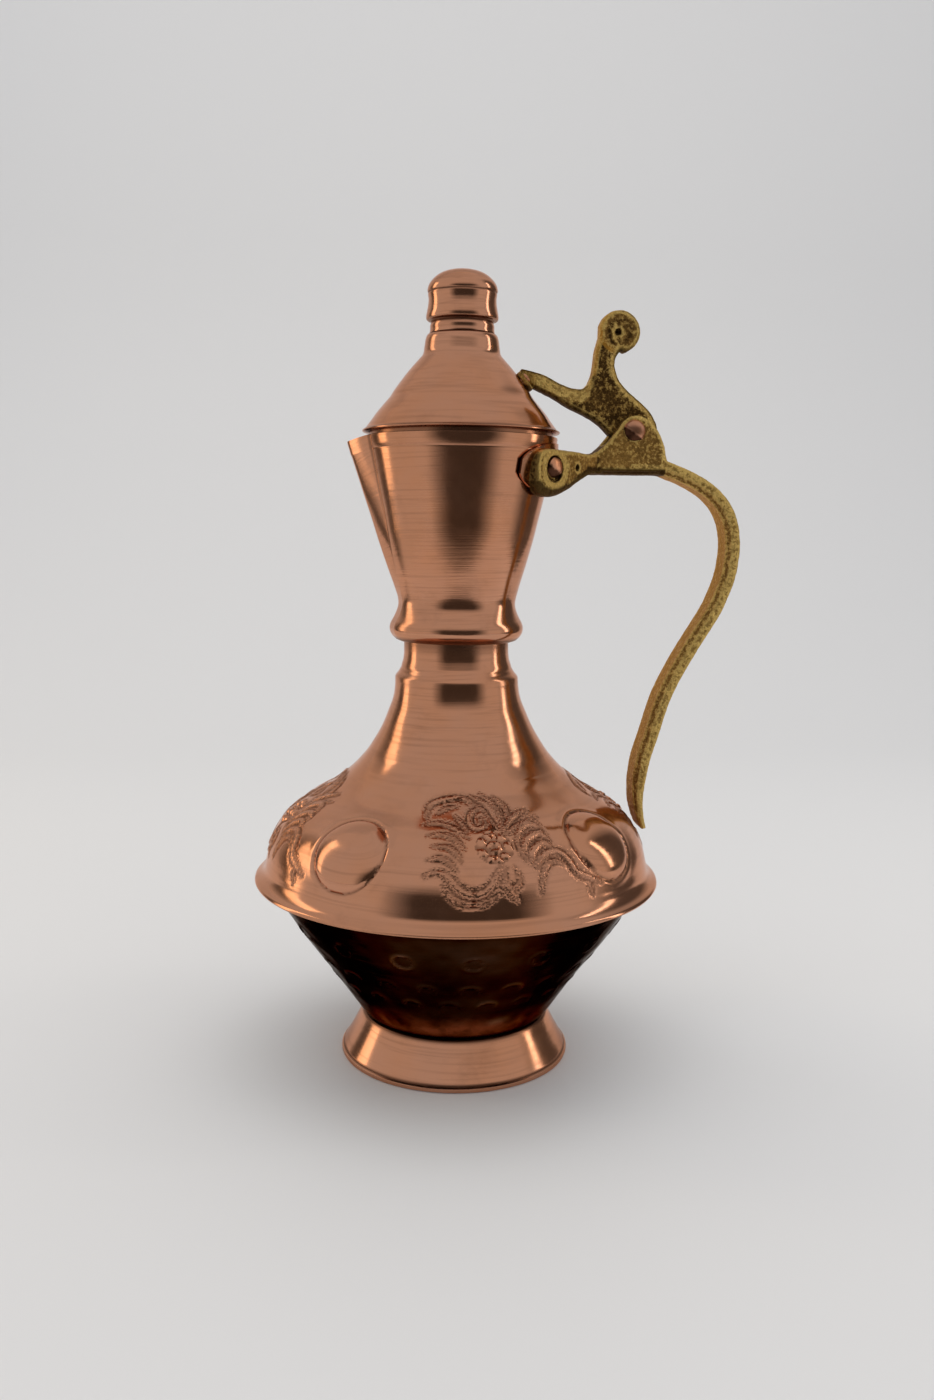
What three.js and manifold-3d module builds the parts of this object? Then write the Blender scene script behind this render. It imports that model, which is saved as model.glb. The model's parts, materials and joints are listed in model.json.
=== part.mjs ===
// Copper ewer with a pinched pouring lip, a hinged lid and a cast brass handle.
// Millimetres, +Z up. The handle points to +X, the lip to -X, and the lid's hinge lies along Y.
import * as THREE from 'three';
import { mergeVertices } from 'three/addons/utils/BufferGeometryUtils.js';
import Module from 'manifold-3d';

const degrees = THREE.MathUtils.degToRad;

// Sheet copper and clearances
const sheet = 0.7;
const clear = 0.3;
const seamGap = 0.2;
const turnSteps = 40;
const rivetSteps = 12;

// Foot
const footRadius = 38.9;
const footTopRadius = 31.3;
const footHeight = 14.6;
const footRimHeight = 1.4;
const footRimWidth = 2.9;
const footFlangeWidth = 7.0;
const footHollow = 1.1;

// Lower bowl
const bowlBaseRadius = 31.4;
const bowlDepth = 47.0;
const bowlMouthRadius = 63.6;
const bowlSwell = 1.3;

// Folded seam between bowl and shoulder
const seamRadius = 67.9;
const seamHemWidth = 3.2;
const seamEdgeRound = 0.5;

// Shoulder and neck
const bellyRadius = 64.2;
const shoulderRise = 64.4;
const collarRadius = 20.5;
const collarHeight = 3.4;
const neckRadius = 17.3;
const neckLength = 15.1;
const neckFlangeWidth = 2.9;

// Raised ornament on the shoulder
const roundelRadius = 12.4;
const roundelHeight = 1.9;
const roundelRise = 17.7;
const rosetteRadius = 4.6;
const rosetteHeight = 0.5;
const rosetteRise = 22.7;
const leafWidth = 2.6;
const leafHeight = 0.5;
const scrollWidth = 3.0;
const scrollHeight = 0.7;
const ridgeCrest = 0.4;
const ridgeTaper = 0.4;
const ridgeStep = 5.0;
const reliefRoot = 0.45;
const bossSides = 18;

// Upper cup
const beadRadius = 22.1;
const beadRise = 4.4;
const beadOverlap = 3.7;
const waistRadius = 19.3;
const waistRise = 7.8;
const cupRise = 52.6;
const rimRadius = 31.2;

// Pouring lip
const lipReach = 6.1;
const lipHalfAngle = degrees(17.5);
const lipDip = 2.0;
const lipStartRise = 2.4;

// Lid
const lidOverhang = 0.9;
const lidRadius = rimRadius + lidOverhang;
const lidHemWidth = 2.2;
const lidEdgeHeight = 2.6;
const lidConeRise = 24.2;
const lidCollarRadius = 12.4;
const lidCollarHeight = 6.6;
const spigotRadius = 9.3;
const spigotHeight = 4.0;

// Finial
const finialHeight = 20.1;
const finialRadius = 11.7;
const finialGrooveDepth = 1.0;
const finialWaistDepth = 0.5;

// Handle root
const padHeight = 13.4;
const padDrop = 8.7;
const padThickness = 2.9;
const padHalfAngle = degrees(53);
const padNeckReach = 12.8;
const plateHeight = 16.4;
const plateHalfAngle = degrees(64);
const plateThickness = 0.8;

// Fork and hinge
const hingeReach = 24.9;
const hingeRise = 4.1;
const forkWidth = 12.0;
const cheekRadius = 4.9;
const forkBackReach = 11.2;

// Strap
const strapThickness = 4.6;
const strapChamfer = 1.8;
const strapTipThickness = 1.7;
const strapDrop = 9.3;
const strapBulge = 26.7;
const strapTipRise = 15.4;

// Lever
const leverWidth = 6.0;
const bossRadius = 5.0;
const heelReach = 8.6;
const armThickness = 3.4;
const scrollRadius = 7.0;
const scrollRise = 31.3;
const scrollSetback = 5.9;
const scrollEyeRadius = 1.1;
const leafHalfAngle = degrees(20);
const leafLength = 5.6;
const leafThickness = 1.4;

// Rivets
const hingeShankRadius = 2.0;
const hingeHeadRadius = 3.5;
const hingeHeadHeight = 1.3;
const padRivetAngle = degrees(33.6);
const padShankRadius = 1.9;
const padHeadRadius = 3.2;
const padHeadHeight = 1.5;
const padRecessRadius = 4.2;
const padRecessDepth = 1.5;
const roveRadius = 3.2;
const roveThickness = 0.8;
const roveStandoff = 0.5;
const lidShankRadius = 0.9;
const lidHeadRadius = 1.6;
const lidHeadHeight = 0.8;
const lidRivetAngle = degrees(14);

// Levels of the stack, from the foot up
const bowlBase = footHeight + clear;
const seamLevel = bowlBase + bowlDepth;
const seamTop = seamLevel + sheet / 2 + seamGap + sheet;
const seamBottom = seamLevel - sheet / 2 - seamGap - sheet;
const collarLevel = seamLevel + shoulderRise;
const collarTop = collarLevel + collarHeight;
const neckTop = collarTop + neckLength;
const cupBase = neckTop - beadOverlap;
const waistLevel = cupBase + beadRise + waistRise;
const rimLevel = waistLevel + cupRise;
const lidBase = rimLevel + clear;
const lidCollarLevel = lidBase + lidEdgeHeight + lidConeRise;
const lidShelf = lidCollarLevel + lidCollarHeight;
const finialBase = lidShelf + clear;
const hingeX = rimRadius + hingeReach;
const hingeZ = rimLevel + hingeRise;
const padLevel = rimLevel - padDrop;
const strapBack = hingeZ - strapDrop;

const wasm = await Module();
wasm.setup();
const { Manifold, Mesh: SolidMesh } = wasm;

const at = (r, z) => new THREE.Vector2(r, z);
const mix = THREE.MathUtils.lerp;

// Closed meshes and solids

function welded(geometry) {
  const bare = geometry.clone();
  bare.deleteAttribute('normal');
  bare.deleteAttribute('uv');
  const merged = mergeVertices(bare, 1e-4);
  const kept = [];
  const index = merged.index.array;
  for (let i = 0; i < index.length; i += 3) {
    const [a, b, c] = [index[i], index[i + 1], index[i + 2]];
    if (a !== b && b !== c && c !== a) kept.push(a, b, c);
  }
  merged.setIndex(kept);
  return merged;
}

function signedVolume(geometry) {
  const position = geometry.attributes.position;
  const index = geometry.index.array;
  const corner = [new THREE.Vector3(), new THREE.Vector3(), new THREE.Vector3()];
  let total = 0;
  for (let i = 0; i < index.length; i += 3) {
    corner.forEach((point, k) => point.fromBufferAttribute(position, index[i + k]));
    total += corner[0].dot(corner[1].cross(corner[2])) / 6;
  }
  return total;
}

function outward(geometry) {
  const mesh = welded(geometry);
  if (signedVolume(mesh) < 0) {
    const index = Array.from(mesh.index.array);
    for (let i = 0; i < index.length; i += 3) {
      [index[i + 1], index[i + 2]] = [index[i + 2], index[i + 1]];
    }
    mesh.setIndex(index);
  }
  return mesh;
}

function solidOf(geometry) {
  const mesh = outward(geometry);
  return new Manifold(new SolidMesh({
    numProp: 3,
    vertProperties: new Float32Array(mesh.attributes.position.array),
    triVerts: new Uint32Array(mesh.index.array),
  }));
}

function geometryOf(solid) {
  const mesh = solid.getMesh();
  const geometry = new THREE.BufferGeometry();
  geometry.setAttribute('position', new THREE.BufferAttribute(mesh.vertProperties, 3));
  geometry.setIndex(new THREE.BufferAttribute(mesh.triVerts, 1));
  return geometry;
}

function cutBy(geometry, tools) {
  const body = solidOf(geometry);
  return geometryOf(body.subtract(Manifold.union(tools.map(solidOf))));
}

// Turned sheet

function offsetPath(path, distance) {
  const side = (a, b) => new THREE.Vector2(a.y - b.y, b.x - a.x).normalize();
  return path.map((point, i) => {
    const before = i > 0 ? side(path[i - 1], point) : side(point, path[i + 1]);
    const after = i < path.length - 1 ? side(point, path[i + 1]) : before;
    const bend = 1 + before.dot(after);
    return point.clone().addScaledVector(before.clone().add(after), distance / bend);
  });
}

function turned(profile, steps = turnSteps) {
  const geometry = new THREE.LatheGeometry(profile, steps);
  geometry.rotateX(Math.PI / 2);
  return outward(geometry);
}

function sheetLoop(path) {
  const inner = offsetPath(path, sheet);
  return [...path, ...inner.reverse(), path[0].clone()];
}

function radiusOn(path, z) {
  for (let i = 1; i < path.length; i += 1) {
    const [a, b] = [path[i - 1], path[i]];
    if ((a.y - z) * (b.y - z) <= 0 && a.y !== b.y) return mix(a.x, b.x, (z - a.y) / (b.y - a.y));
  }
  return path[path.length - 1].x;
}

function wallFrame(path, z, angle) {
  const step = 1.5;
  const radius = radiusOn(path, z);
  const slope = (radiusOn(path, z + step) - radiusOn(path, z - step)) / (2 * step);
  const level = new THREE.Vector3(Math.cos(angle), Math.sin(angle), 0);
  const normal = level.clone().setZ(-slope).normalize();
  const origin = level.multiplyScalar(radius).setZ(z);
  return { origin, normal };
}

function wallPoint(path, z, angle, lift) {
  const { origin, normal } = wallFrame(path, z, angle);
  return origin.addScaledVector(normal, lift);
}

// Solids from point grids

function slab(inner, outer) {
  const rows = inner.length;
  const columns = inner[0].length;
  const points = [...inner.flat(), ...outer.flat()];
  const top = rows * columns;
  const index = [];
  const quad = (a, b, c, d) => index.push(a, b, c, a, c, d);
  for (let i = 0; i + 1 < rows; i += 1) {
    for (let j = 0; j + 1 < columns; j += 1) {
      const k = i * columns + j;
      quad(k, k + 1, k + columns + 1, k + columns);
      quad(top + k, top + k + columns, top + k + columns + 1, top + k + 1);
    }
  }
  const last = (rows - 1) * columns;
  for (let j = 0; j + 1 < columns; j += 1) {
    quad(j + 1, j, top + j, top + j + 1);
    quad(last + j, last + j + 1, top + last + j + 1, top + last + j);
  }
  for (let i = 0; i + 1 < rows; i += 1) {
    const left = i * columns;
    const right = left + columns - 1;
    quad(left, left + columns, top + left + columns, top + left);
    quad(right + columns, right, top + right, top + right + columns);
  }
  const geometry = new THREE.BufferGeometry().setFromPoints(points);
  geometry.setIndex(index);
  return geometry;
}

function capFaces(outline) {
  const whole = THREE.ShapeUtils.area(outline);
  return THREE.ShapeUtils.triangulateShape(outline, []).map(([a, b, c]) => {
    const part = THREE.ShapeUtils.area([outline[a], outline[b], outline[c]]);
    return part * whole > 0 ? [a, b, c] : [a, c, b];
  });
}

function bands(rings) {
  const count = rings[0].length;
  const index = [];
  for (let i = 0; i + 1 < rings.length; i += 1) {
    for (let j = 0; j < count; j += 1) {
      const k = (j + 1) % count;
      const [a, b, c, d] = [i * count + j, i * count + k, (i + 1) * count + k, (i + 1) * count + j];
      index.push(a, b, c, a, c, d);
    }
  }
  return index;
}

function stack(rings, outlines) {
  const index = bands(rings);
  const last = (rings.length - 1) * rings[0].length;
  for (const [a, b, c] of capFaces(outlines[0])) index.push(a, c, b);
  for (const [a, b, c] of capFaces(outlines[outlines.length - 1])) {
    index.push(last + a, last + b, last + c);
  }
  const geometry = new THREE.BufferGeometry().setFromPoints(rings.flat());
  geometry.setIndex(index);
  return geometry;
}

function profilePlate(shape, width, curveSegments = 8) {
  const geometry = new THREE.ExtrudeGeometry(shape, { depth: width, bevelEnabled: false, curveSegments });
  geometry.rotateX(Math.PI / 2);
  geometry.translate(0, width / 2, 0);
  return geometry;
}

function along(geometry, origin, direction) {
  const turn = new THREE.Quaternion().setFromUnitVectors(new THREE.Vector3(0, 0, 1), direction);
  return geometry.clone().applyQuaternion(turn).translate(origin.x, origin.y, origin.z);
}

function rod(radius, from, to, steps = rivetSteps) {
  return turned([at(0, from), at(radius, from), at(radius, to), at(0, to)], steps);
}

function rivet(shank, from, to, head, headHeight, tail, tailHeight) {
  return turned([
    at(0, from - tailHeight),
    at(0.7 * tail, from - tailHeight),
    at(tail, from - 0.4 * tailHeight),
    at(tail, from),
    at(shank, from),
    at(shank, to),
    at(head, to),
    at(0.92 * head, to + 0.45 * headHeight),
    at(0.6 * head, to + 0.85 * headHeight),
    at(0, to + headHeight),
  ], rivetSteps);
}

// Outlines of the turned pieces, drawn on their outer face from the bottom up

const footSide = new THREE.QuadraticBezierCurve(
  at(footRadius - 0.5, footRimHeight + 0.8),
  at(mix(footRadius, footTopRadius, 0.5) - footHollow, footHeight * 0.5),
  at(footTopRadius, footHeight),
).getPoints(4);

const bowlPath = [
  at(0, bowlBase),
  at(bowlBaseRadius - 1.2, bowlBase),
  ...new THREE.QuadraticBezierCurve(
    at(bowlBaseRadius, bowlBase + 0.9),
    at(mix(bowlBaseRadius, bowlMouthRadius, 0.5) + bowlSwell, bowlBase + bowlDepth * 0.48),
    at(bowlMouthRadius - 1.4, seamLevel - 2.6),
  ).getPoints(5),
  at(bowlMouthRadius + 0.4, seamLevel - sheet / 2),
  at(seamRadius - sheet - seamGap, seamLevel - sheet / 2),
];

// Shares of the shoulder's rise and of its draw-in from belly to collar
const shoulderShape = [
  [0.1, 0.015], [0.19, 0.045], [0.27, 0.1], [0.335, 0.19], [0.385, 0.29], [0.43, 0.41],
  [0.475, 0.52], [0.55, 0.64], [0.66, 0.78], [0.79, 0.9], [0.91, 0.97],
];
const shoulderCurve = new THREE.SplineCurve([
  at(bellyRadius, seamTop + 1.6),
  ...shoulderShape.map(([rise, draw]) => at(
    mix(bellyRadius, collarRadius, draw),
    mix(seamLevel, collarLevel, rise),
  )),
  at(collarRadius, collarLevel),
]).getPoints(15);

const shoulderPath = [
  at(seamRadius - seamHemWidth, seamBottom),
  at(seamRadius - seamEdgeRound, seamBottom),
  at(seamRadius, seamBottom + seamEdgeRound),
  at(seamRadius, seamTop - seamEdgeRound),
  at(seamRadius - seamEdgeRound, seamTop),
  at(bellyRadius + 1.2, seamTop),
  ...shoulderCurve,
  at(collarRadius, collarTop - 0.6),
  at(mix(neckRadius, collarRadius, 0.6), collarTop + 0.8),
  at(mix(neckRadius, collarRadius, 0.15), collarTop + 3),
  at(neckRadius, collarTop + 5),
  at(neckRadius, neckTop - sheet),
  at(neckRadius + neckFlangeWidth, neckTop - sheet),
];

const cupPath = [
  at(neckRadius + clear, cupBase),
  at(beadRadius - 2.2, cupBase + 0.2),
  at(beadRadius - 0.6, cupBase + beadRise * 0.42),
  at(beadRadius, cupBase + beadRise),
  at(mix(waistRadius, beadRadius, 0.55), cupBase + beadRise * 1.6),
  at(mix(waistRadius, beadRadius, 0.1), waistLevel - waistRise * 0.25),
  at(waistRadius, waistLevel),
  at(mix(waistRadius, rimRadius, 0.1), waistLevel + cupRise * 0.125),
  at(mix(waistRadius, rimRadius, 0.3), waistLevel + cupRise * 0.29),
  at(mix(waistRadius, rimRadius, 0.66), waistLevel + cupRise * 0.65),
  at(rimRadius, rimLevel),
];

// Shares of the lid cone's rise and of its draw-in from edge to collar
const lidShape = [
  [0.0, 0.045], [0.16, 0.185], [0.35, 0.375], [0.47, 0.47], [0.65, 0.64], [0.84, 0.84], [1.0, 0.99],
];
const lidPath = [
  at(lidRadius - lidHemWidth, lidBase),
  at(lidRadius - 0.5, lidBase),
  at(lidRadius, lidBase + 0.5),
  at(lidRadius, lidBase + lidEdgeHeight * 0.6),
  ...lidShape.map(([rise, draw]) => at(
    mix(lidRadius, lidCollarRadius, draw),
    lidBase + lidEdgeHeight + rise * lidConeRise,
  )),
  at(lidCollarRadius - 0.4, lidShelf),
  at(spigotRadius, lidShelf),
  at(spigotRadius, lidShelf + spigotHeight),
];

const finialPath = [
  at(finialRadius - 0.4, finialBase),
  at(finialRadius - finialGrooveDepth, finialBase + finialHeight * 0.1),
  at(finialRadius - finialGrooveDepth, finialBase + finialHeight * 0.16),
  at(finialRadius, finialBase + finialHeight * 0.25),
  at(finialRadius, finialBase + finialHeight * 0.34),
  at(finialRadius - finialWaistDepth, finialBase + finialHeight * 0.5),
  at(finialRadius, finialBase + finialHeight * 0.64),
  at(finialRadius, finialBase + finialHeight * 0.73),
  at(finialRadius * 0.86, finialBase + finialHeight * 0.87),
  at(finialRadius * 0.52, finialBase + finialHeight * 0.97),
  at(0, finialBase + finialHeight),
];

// Raised ornament on the shoulder: round bosses and leaf sprays between them

const roundelAngles = [-130, -44, 50, 140];
const sprayAngles = [-175, -82, 8, 97];
const rosetteAngle = -2;
const tipRoom = { halfAngle: 7, from: 18, to: 31 };

// Shares of a boss's radius and height, from its rim to its crown
const roundelShape = [[1, 0.05], [0.8, 0.58], [0.5, 0.89], [0, 1]];
const rosetteShape = [[1, 0.1], [0.75, 1], [0, 1]];

// Strokes of a spray, as degrees from its middle and percent of the shoulder's rise
const leafStrokes = [
  [[-25.9, 43.0], [-20.1, 43.6], [-14.5, 42.1], [-10.1, 38.8]],
  [[-23.6, 39.3], [-17.8, 39.8], [-13.4, 37.4], [-11.6, 34.6]],
  [[-21.5, 35.7], [-16.5, 35.6], [-12.5, 30.0]],
  [[-22.4, 30.6], [-18.6, 31.4], [-13.7, 26.4]],
  [[-7.8, 53.6], [-1.7, 50.8], [1.8, 45.5], [2.3, 40.5]],
  [[2.4, 40.8], [7.5, 44.9], [15.5, 47.4]],
  [[6.1, 37.4], [9.1, 41.3], [14.1, 42.4], [16.8, 39.9]],
  [[6.7, 33.4], [9.7, 37.4], [15.4, 39.0], [17.1, 36.2]],
  [[8.0, 28.7], [10.5, 33.7], [15.1, 35.4], [16.8, 32.1]],
  [[-17.4, 20.7], [-15.4, 16.1], [-11.5, 13.0], [-6.2, 13.4], [-2.2, 16.3]],
  [[0.5, 27.5], [-0.4, 23.6], [0.7, 19.4], [3.3, 20.0], [3.7, 24.4], [2.6, 27.8]],
];
const scrollStrokes = [
  [[-25.5, 45.0], [-25.6, 49.8], [-19.4, 52.3], [-11.0, 52.8], [-4.8, 49.7]],
  [[-22.7, 24.1], [-16.4, 24.4], [-10.7, 16.6], [-7.0, 16.9], [-4.2, 20.7], [-1.1, 28.4]],
  [[9.5, 26.6], [15.4, 32.0], [20.4, 28.0], [22.2, 22.5], [26.3, 18.8], [30.4, 15.7]],
  [[9.4, 16.0], [12.8, 26.9], [16.2, 28.3], [19.0, 25.8]],
];

// The level that is reached along the sheet, a run above the first one
function levelAfter(path, level, run) {
  const steps = 20;
  let z = level;
  for (let i = 0; i < steps; i += 1) {
    const slope = radiusOn(path, z + 0.5) - radiusOn(path, z - 0.5);
    z += run / steps / Math.hypot(1, slope);
  }
  return z;
}

// A round body in the sheet, from the middle of its underside to its crown
function boss(angle, rise, radius, underLift, underRadius, crown) {
  const under = [[0, underLift], [0.5 * underRadius, underLift], [underRadius, underLift]];
  const sides = Array.from({ length: bossSides }, (unused, i) => (2 * Math.PI * i) / bossSides);
  const rings = [...under, ...crown].map(([share, lift]) => sides.map((turn) => {
    const z = levelAfter(shoulderPath, seamLevel + rise, share * radius * Math.sin(turn));
    const across = (share * radius * Math.cos(turn)) / radiusOn(shoulderPath, z);
    return wallPoint(shoulderPath, z, degrees(angle) + across, lift);
  }));
  const geometry = new THREE.BufferGeometry().setFromPoints(rings.flat());
  geometry.setIndex(bands(rings));
  return geometry;
}

function roundel(angle) {
  const crown = roundelShape.map(([share, lift]) => [share, lift * roundelHeight]);
  return boss(angle, roundelRise, roundelRadius, -reliefRoot, 1, crown);
}

function roundelHollow(angle) {
  const rim = 1 - sheet / roundelRadius;
  const crown = roundelShape.slice(1).map(([share, lift]) => [share, lift * roundelHeight - sheet]);
  return boss(angle, roundelRise, roundelRadius, -3 * sheet, rim, [[rim, -sheet], ...crown]);
}

function rosette(middle) {
  const crown = rosetteShape.map(([share, lift]) => [share, lift * rosetteHeight]);
  return boss(middle + rosetteAngle, rosetteRise, rosetteRadius, -reliefRoot, 1, crown);
}

function ridge(middle, stroke, width, height) {
  const curve = new THREE.SplineCurve(stroke.map(([across, percent]) => at(across, percent)));
  const place = (share) => {
    const { x, y } = curve.getPoint(THREE.MathUtils.clamp(share, 0, 1));
    return wallFrame(shoulderPath, mix(seamLevel, collarLevel, y / 100), degrees(middle + x));
  };
  const steps = Math.max(3, Math.round(curve.getLength() / ridgeStep));
  const rings = [];
  const sections = [];
  for (let i = 0; i <= steps; i += 1) {
    const share = i / steps;
    const { origin, normal } = place(share);
    const ahead = place(share + 0.02).origin.sub(place(share - 0.02).origin);
    const side = ahead.cross(normal).normalize();
    const taper = mix(ridgeTaper, 1, Math.sin(Math.PI * share));
    const [half, lift] = [(width * taper) / 2, height * taper];
    const crest = ridgeCrest * half;
    sections.push([at(-half, -reliefRoot), at(half, -reliefRoot), at(crest, lift), at(-crest, lift)]);
    rings.push(sections[i].map((corner) => (
      origin.clone().addScaledVector(side, corner.x).addScaledVector(normal, corner.y)
    )));
  }
  return stack(rings, sections);
}

// The handle's tip stands over bare sheet
function underTip(middle, stroke) {
  const { halfAngle, from, to } = tipRoom;
  return stroke.some(([across, percent]) => (
    Math.abs(middle + across) < halfAngle && percent > from && percent < to
  ));
}

function spray(middle) {
  const strokes = [
    ...leafStrokes.map((stroke) => [stroke, leafWidth, leafHeight]),
    ...scrollStrokes.map((stroke) => [stroke, scrollWidth, scrollHeight]),
  ].filter(([stroke]) => !underTip(middle, stroke));
  const ridges = strokes.map(([stroke, width, height]) => ridge(middle, stroke, width, height));
  return [rosette(middle), ...ridges];
}

// Turned pieces

function foot() {
  const outer = [at(footRadius, 0), at(footRadius, footRimHeight), ...footSide];
  outer.push(at(footTopRadius - footFlangeWidth, footHeight));
  const inner = offsetPath(outer.slice(2), sheet).reverse();
  inner.push(at(footRadius - footRimWidth, footRimHeight), at(footRadius - footRimWidth, 0));
  return turned([...outer, ...inner, outer[0].clone()]);
}

function lowerBowl() {
  const inner = offsetPath(bowlPath, sheet).reverse();
  inner[inner.length - 1].x = 0;
  return turned([...bowlPath, ...inner]);
}

function shoulder() {
  const raised = [...roundelAngles.map(roundel), ...sprayAngles.flatMap(spray)];
  const body = Manifold.union([turned(sheetLoop(shoulderPath)), ...raised].map(solidOf));
  return geometryOf(body.subtract(Manifold.union(roundelAngles.map(roundelHollow).map(solidOf))));
}

function lid() {
  const holes = [1, -1].map((side) => lidRivetHole(side));
  return cutBy(turned(sheetLoop(lidPath)), holes);
}

function finial() {
  const inner = offsetPath(finialPath, sheet).reverse();
  inner[0].x = 0;
  return turned([...finialPath, ...inner, finialPath[0].clone()]);
}

// Upper cup with its pouring lip

function lipShare(z) {
  const start = waistLevel + lipStartRise;
  return THREE.MathUtils.clamp((z - start) / (rimLevel - start), 0, 1);
}

function lipRadius(radius, share, fromNose) {
  const tip = radius + lipReach * share;
  if (fromNose >= lipHalfAngle) return radius;
  const across = tip * Math.sin(fromNose) + radius * Math.sin(lipHalfAngle - fromNose);
  return (radius * tip * Math.sin(lipHalfAngle)) / across;
}

function cupAngles() {
  const nose = [-1, -0.75, -0.5, -0.25, 0, 0.25, 0.5, 0.75, 1].map((k) => k * lipHalfAngle);
  const rest = turnSteps - nose.length + 1;
  const span = 2 * Math.PI - 2 * lipHalfAngle;
  for (let i = 1; i < rest; i += 1) nose.push(lipHalfAngle + (span * i) / rest);
  return nose;
}

function cup() {
  const loop = sheetLoop(cupPath).slice(0, -1);
  const angles = cupAngles();
  const points = [];
  for (const { x: radius, y: z } of loop) {
    const share = lipShare(z);
    for (const angle of angles) {
      const fromNose = Math.min(Math.abs(angle), 2 * Math.PI - Math.abs(angle));
      const r = lipRadius(radius, share, fromNose);
      const dip = lipDip * share * Math.max(0, 1 - fromNose / lipHalfAngle);
      points.push(new THREE.Vector3(-r * Math.cos(angle), -r * Math.sin(angle), z - dip));
    }
  }
  const index = [];
  const columns = angles.length;
  for (let i = 0; i < loop.length; i += 1) {
    const next = (i + 1) % loop.length;
    for (let j = 0; j < columns; j += 1) {
      const k = (j + 1) % columns;
      const [a, b, c, d] = [i * columns + j, i * columns + k, next * columns + k, next * columns + j];
      index.push(a, b, c, a, c, d);
    }
  }
  const geometry = new THREE.BufferGeometry().setFromPoints(points);
  geometry.setIndex(index);
  return cutBy(geometry, [1, -1].map((side) => padRivetHole(side)));
}

// Handle root

function padFrame(side) {
  return wallFrame(cupPath, padLevel, side * padRivetAngle);
}

function padRivetHole(side) {
  const { origin, normal } = padFrame(side);
  return along(rod(padShankRadius + clear, -6, 14), origin, normal);
}

const padLift = clear + plateThickness + clear;

function padRing(share) {
  const z = padLevel + (share * padHeight) / 2;
  const fullness = Math.sqrt(1 - 0.9 * share * share);
  const half = padHalfAngle * mix(0.72, 1, fullness);
  const reach = mix(2.5, padNeckReach, fullness);
  const wall = radiusOn(cupPath, z) + padLift;
  const neck = at(wall + reach, forkWidth / 2);
  const tip = at((wall + padThickness) * Math.cos(half), (wall + padThickness) * Math.sin(half));
  const arc = [];
  const steps = 10;
  for (let i = 0; i <= steps; i += 1) {
    const angle = mix(half, -half, i / steps);
    arc.push(at(wall * Math.cos(angle), wall * Math.sin(angle)));
  }
  const outline = [at(neck.x, -neck.y), neck, tip, ...arc, at(tip.x, -tip.y)];
  return outline.map((point) => new THREE.Vector3(point.x, point.y, z));
}

function pad() {
  const shares = [-1, -0.82, -0.45, 0, 0.45, 0.82, 1];
  const rings = shares.map(padRing);
  return stack(rings, rings.map((ring) => ring.map((point) => at(point.x, point.y))));
}

function padFaceLift() {
  const [, neck, tip] = padRing(0);
  const across = tip.clone().sub(neck);
  const facing = at(-across.y, across.x).normalize();
  const reach = at(neck.x, neck.y).dot(facing);
  const ray = at(Math.cos(padRivetAngle), Math.sin(padRivetAngle));
  return Math.abs(reach / ray.dot(facing)) - radiusOn(cupPath, padLevel);
}

function saddlePlate() {
  const grid = (lift) => {
    const rows = [];
    const columns = 20;
    for (let i = 0; i <= 4; i += 1) {
      rows.push([]);
      for (let j = 0; j <= columns; j += 1) {
        const across = mix(-1, 1, j / columns);
        const half = (plateHeight / 2) * Math.sqrt(1 - 0.8 * across ** 4);
        const z = padLevel + mix(-half, half, i / 4);
        rows[i].push(wallPoint(cupPath, Math.min(z, rimLevel - 0.6), across * plateHalfAngle, lift));
      }
    }
    return rows;
  };
  const plate = slab(grid(clear), grid(clear + plateThickness));
  return cutBy(plate, [1, -1].map((side) => padRivetHole(side)));
}

// Strap, from the pad under the fork and down to the shoulder

// Shares of the strap's drop, and of its bulge from the straight line between its ends
const strapShape = [
  [0.025, 0.355], [0.06, 0.625], [0.1, 0.815], [0.155, 0.95], [0.215, 1.01], [0.285, 0.995],
  [0.37, 0.865], [0.455, 0.668], [0.535, 0.463], [0.64, 0.232], [0.75, 0.08], [0.85, -0.03],
  [0.92, -0.072], [0.97, -0.045],
];

function strapCurve() {
  const exit = at(hingeX + forkBackReach, strapBack);
  const tipLevel = seamLevel + strapTipRise;
  const tip = at(radiusOn(shoulderPath, tipLevel - 1) + clear + strapTipThickness + 0.4, tipLevel);
  const bend = strapShape.map(([drop, bulge]) => new THREE.Vector3(
    mix(exit.x, tip.x, drop) + bulge * strapBulge,
    0,
    mix(exit.y, tip.y, drop),
  ));
  const start = rimRadius + 4.5;
  const straight = [start, mix(start, exit.x, 0.5), exit.x].map((x) => new THREE.Vector3(x, 0, exit.y));
  return new THREE.CatmullRomCurve3([...straight, ...bend, new THREE.Vector3(tip.x, 0, tip.y)]);
}

function strap() {
  const curve = strapCurve();
  const steps = 34;
  const half = forkWidth / 2;
  const sections = [];
  const rings = [];
  for (let i = 0; i <= steps; i += 1) {
    const share = i / steps;
    const point = curve.getPointAt(share);
    const tangent = curve.getTangentAt(share);
    const inward = new THREE.Vector3(tangent.z, 0, -tangent.x);
    const thin = THREE.MathUtils.smoothstep(share, 0.88, 1);
    const depth = mix(strapThickness, strapTipThickness, thin);
    const chamfer = Math.min(strapChamfer, depth * 0.4);
    sections.push([
      at(0, -half), at(0, half), at(depth - chamfer, half), at(depth, half - chamfer),
      at(depth, chamfer - half), at(depth - chamfer, -half),
    ]);
    rings.push(sections[i].map(({ x, y }) => point.clone().addScaledVector(inward, x).setY(y)));
  }
  return stack(rings, sections);
}

// Fork: two cheeks on the strap with a slot for the lever between them

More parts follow.
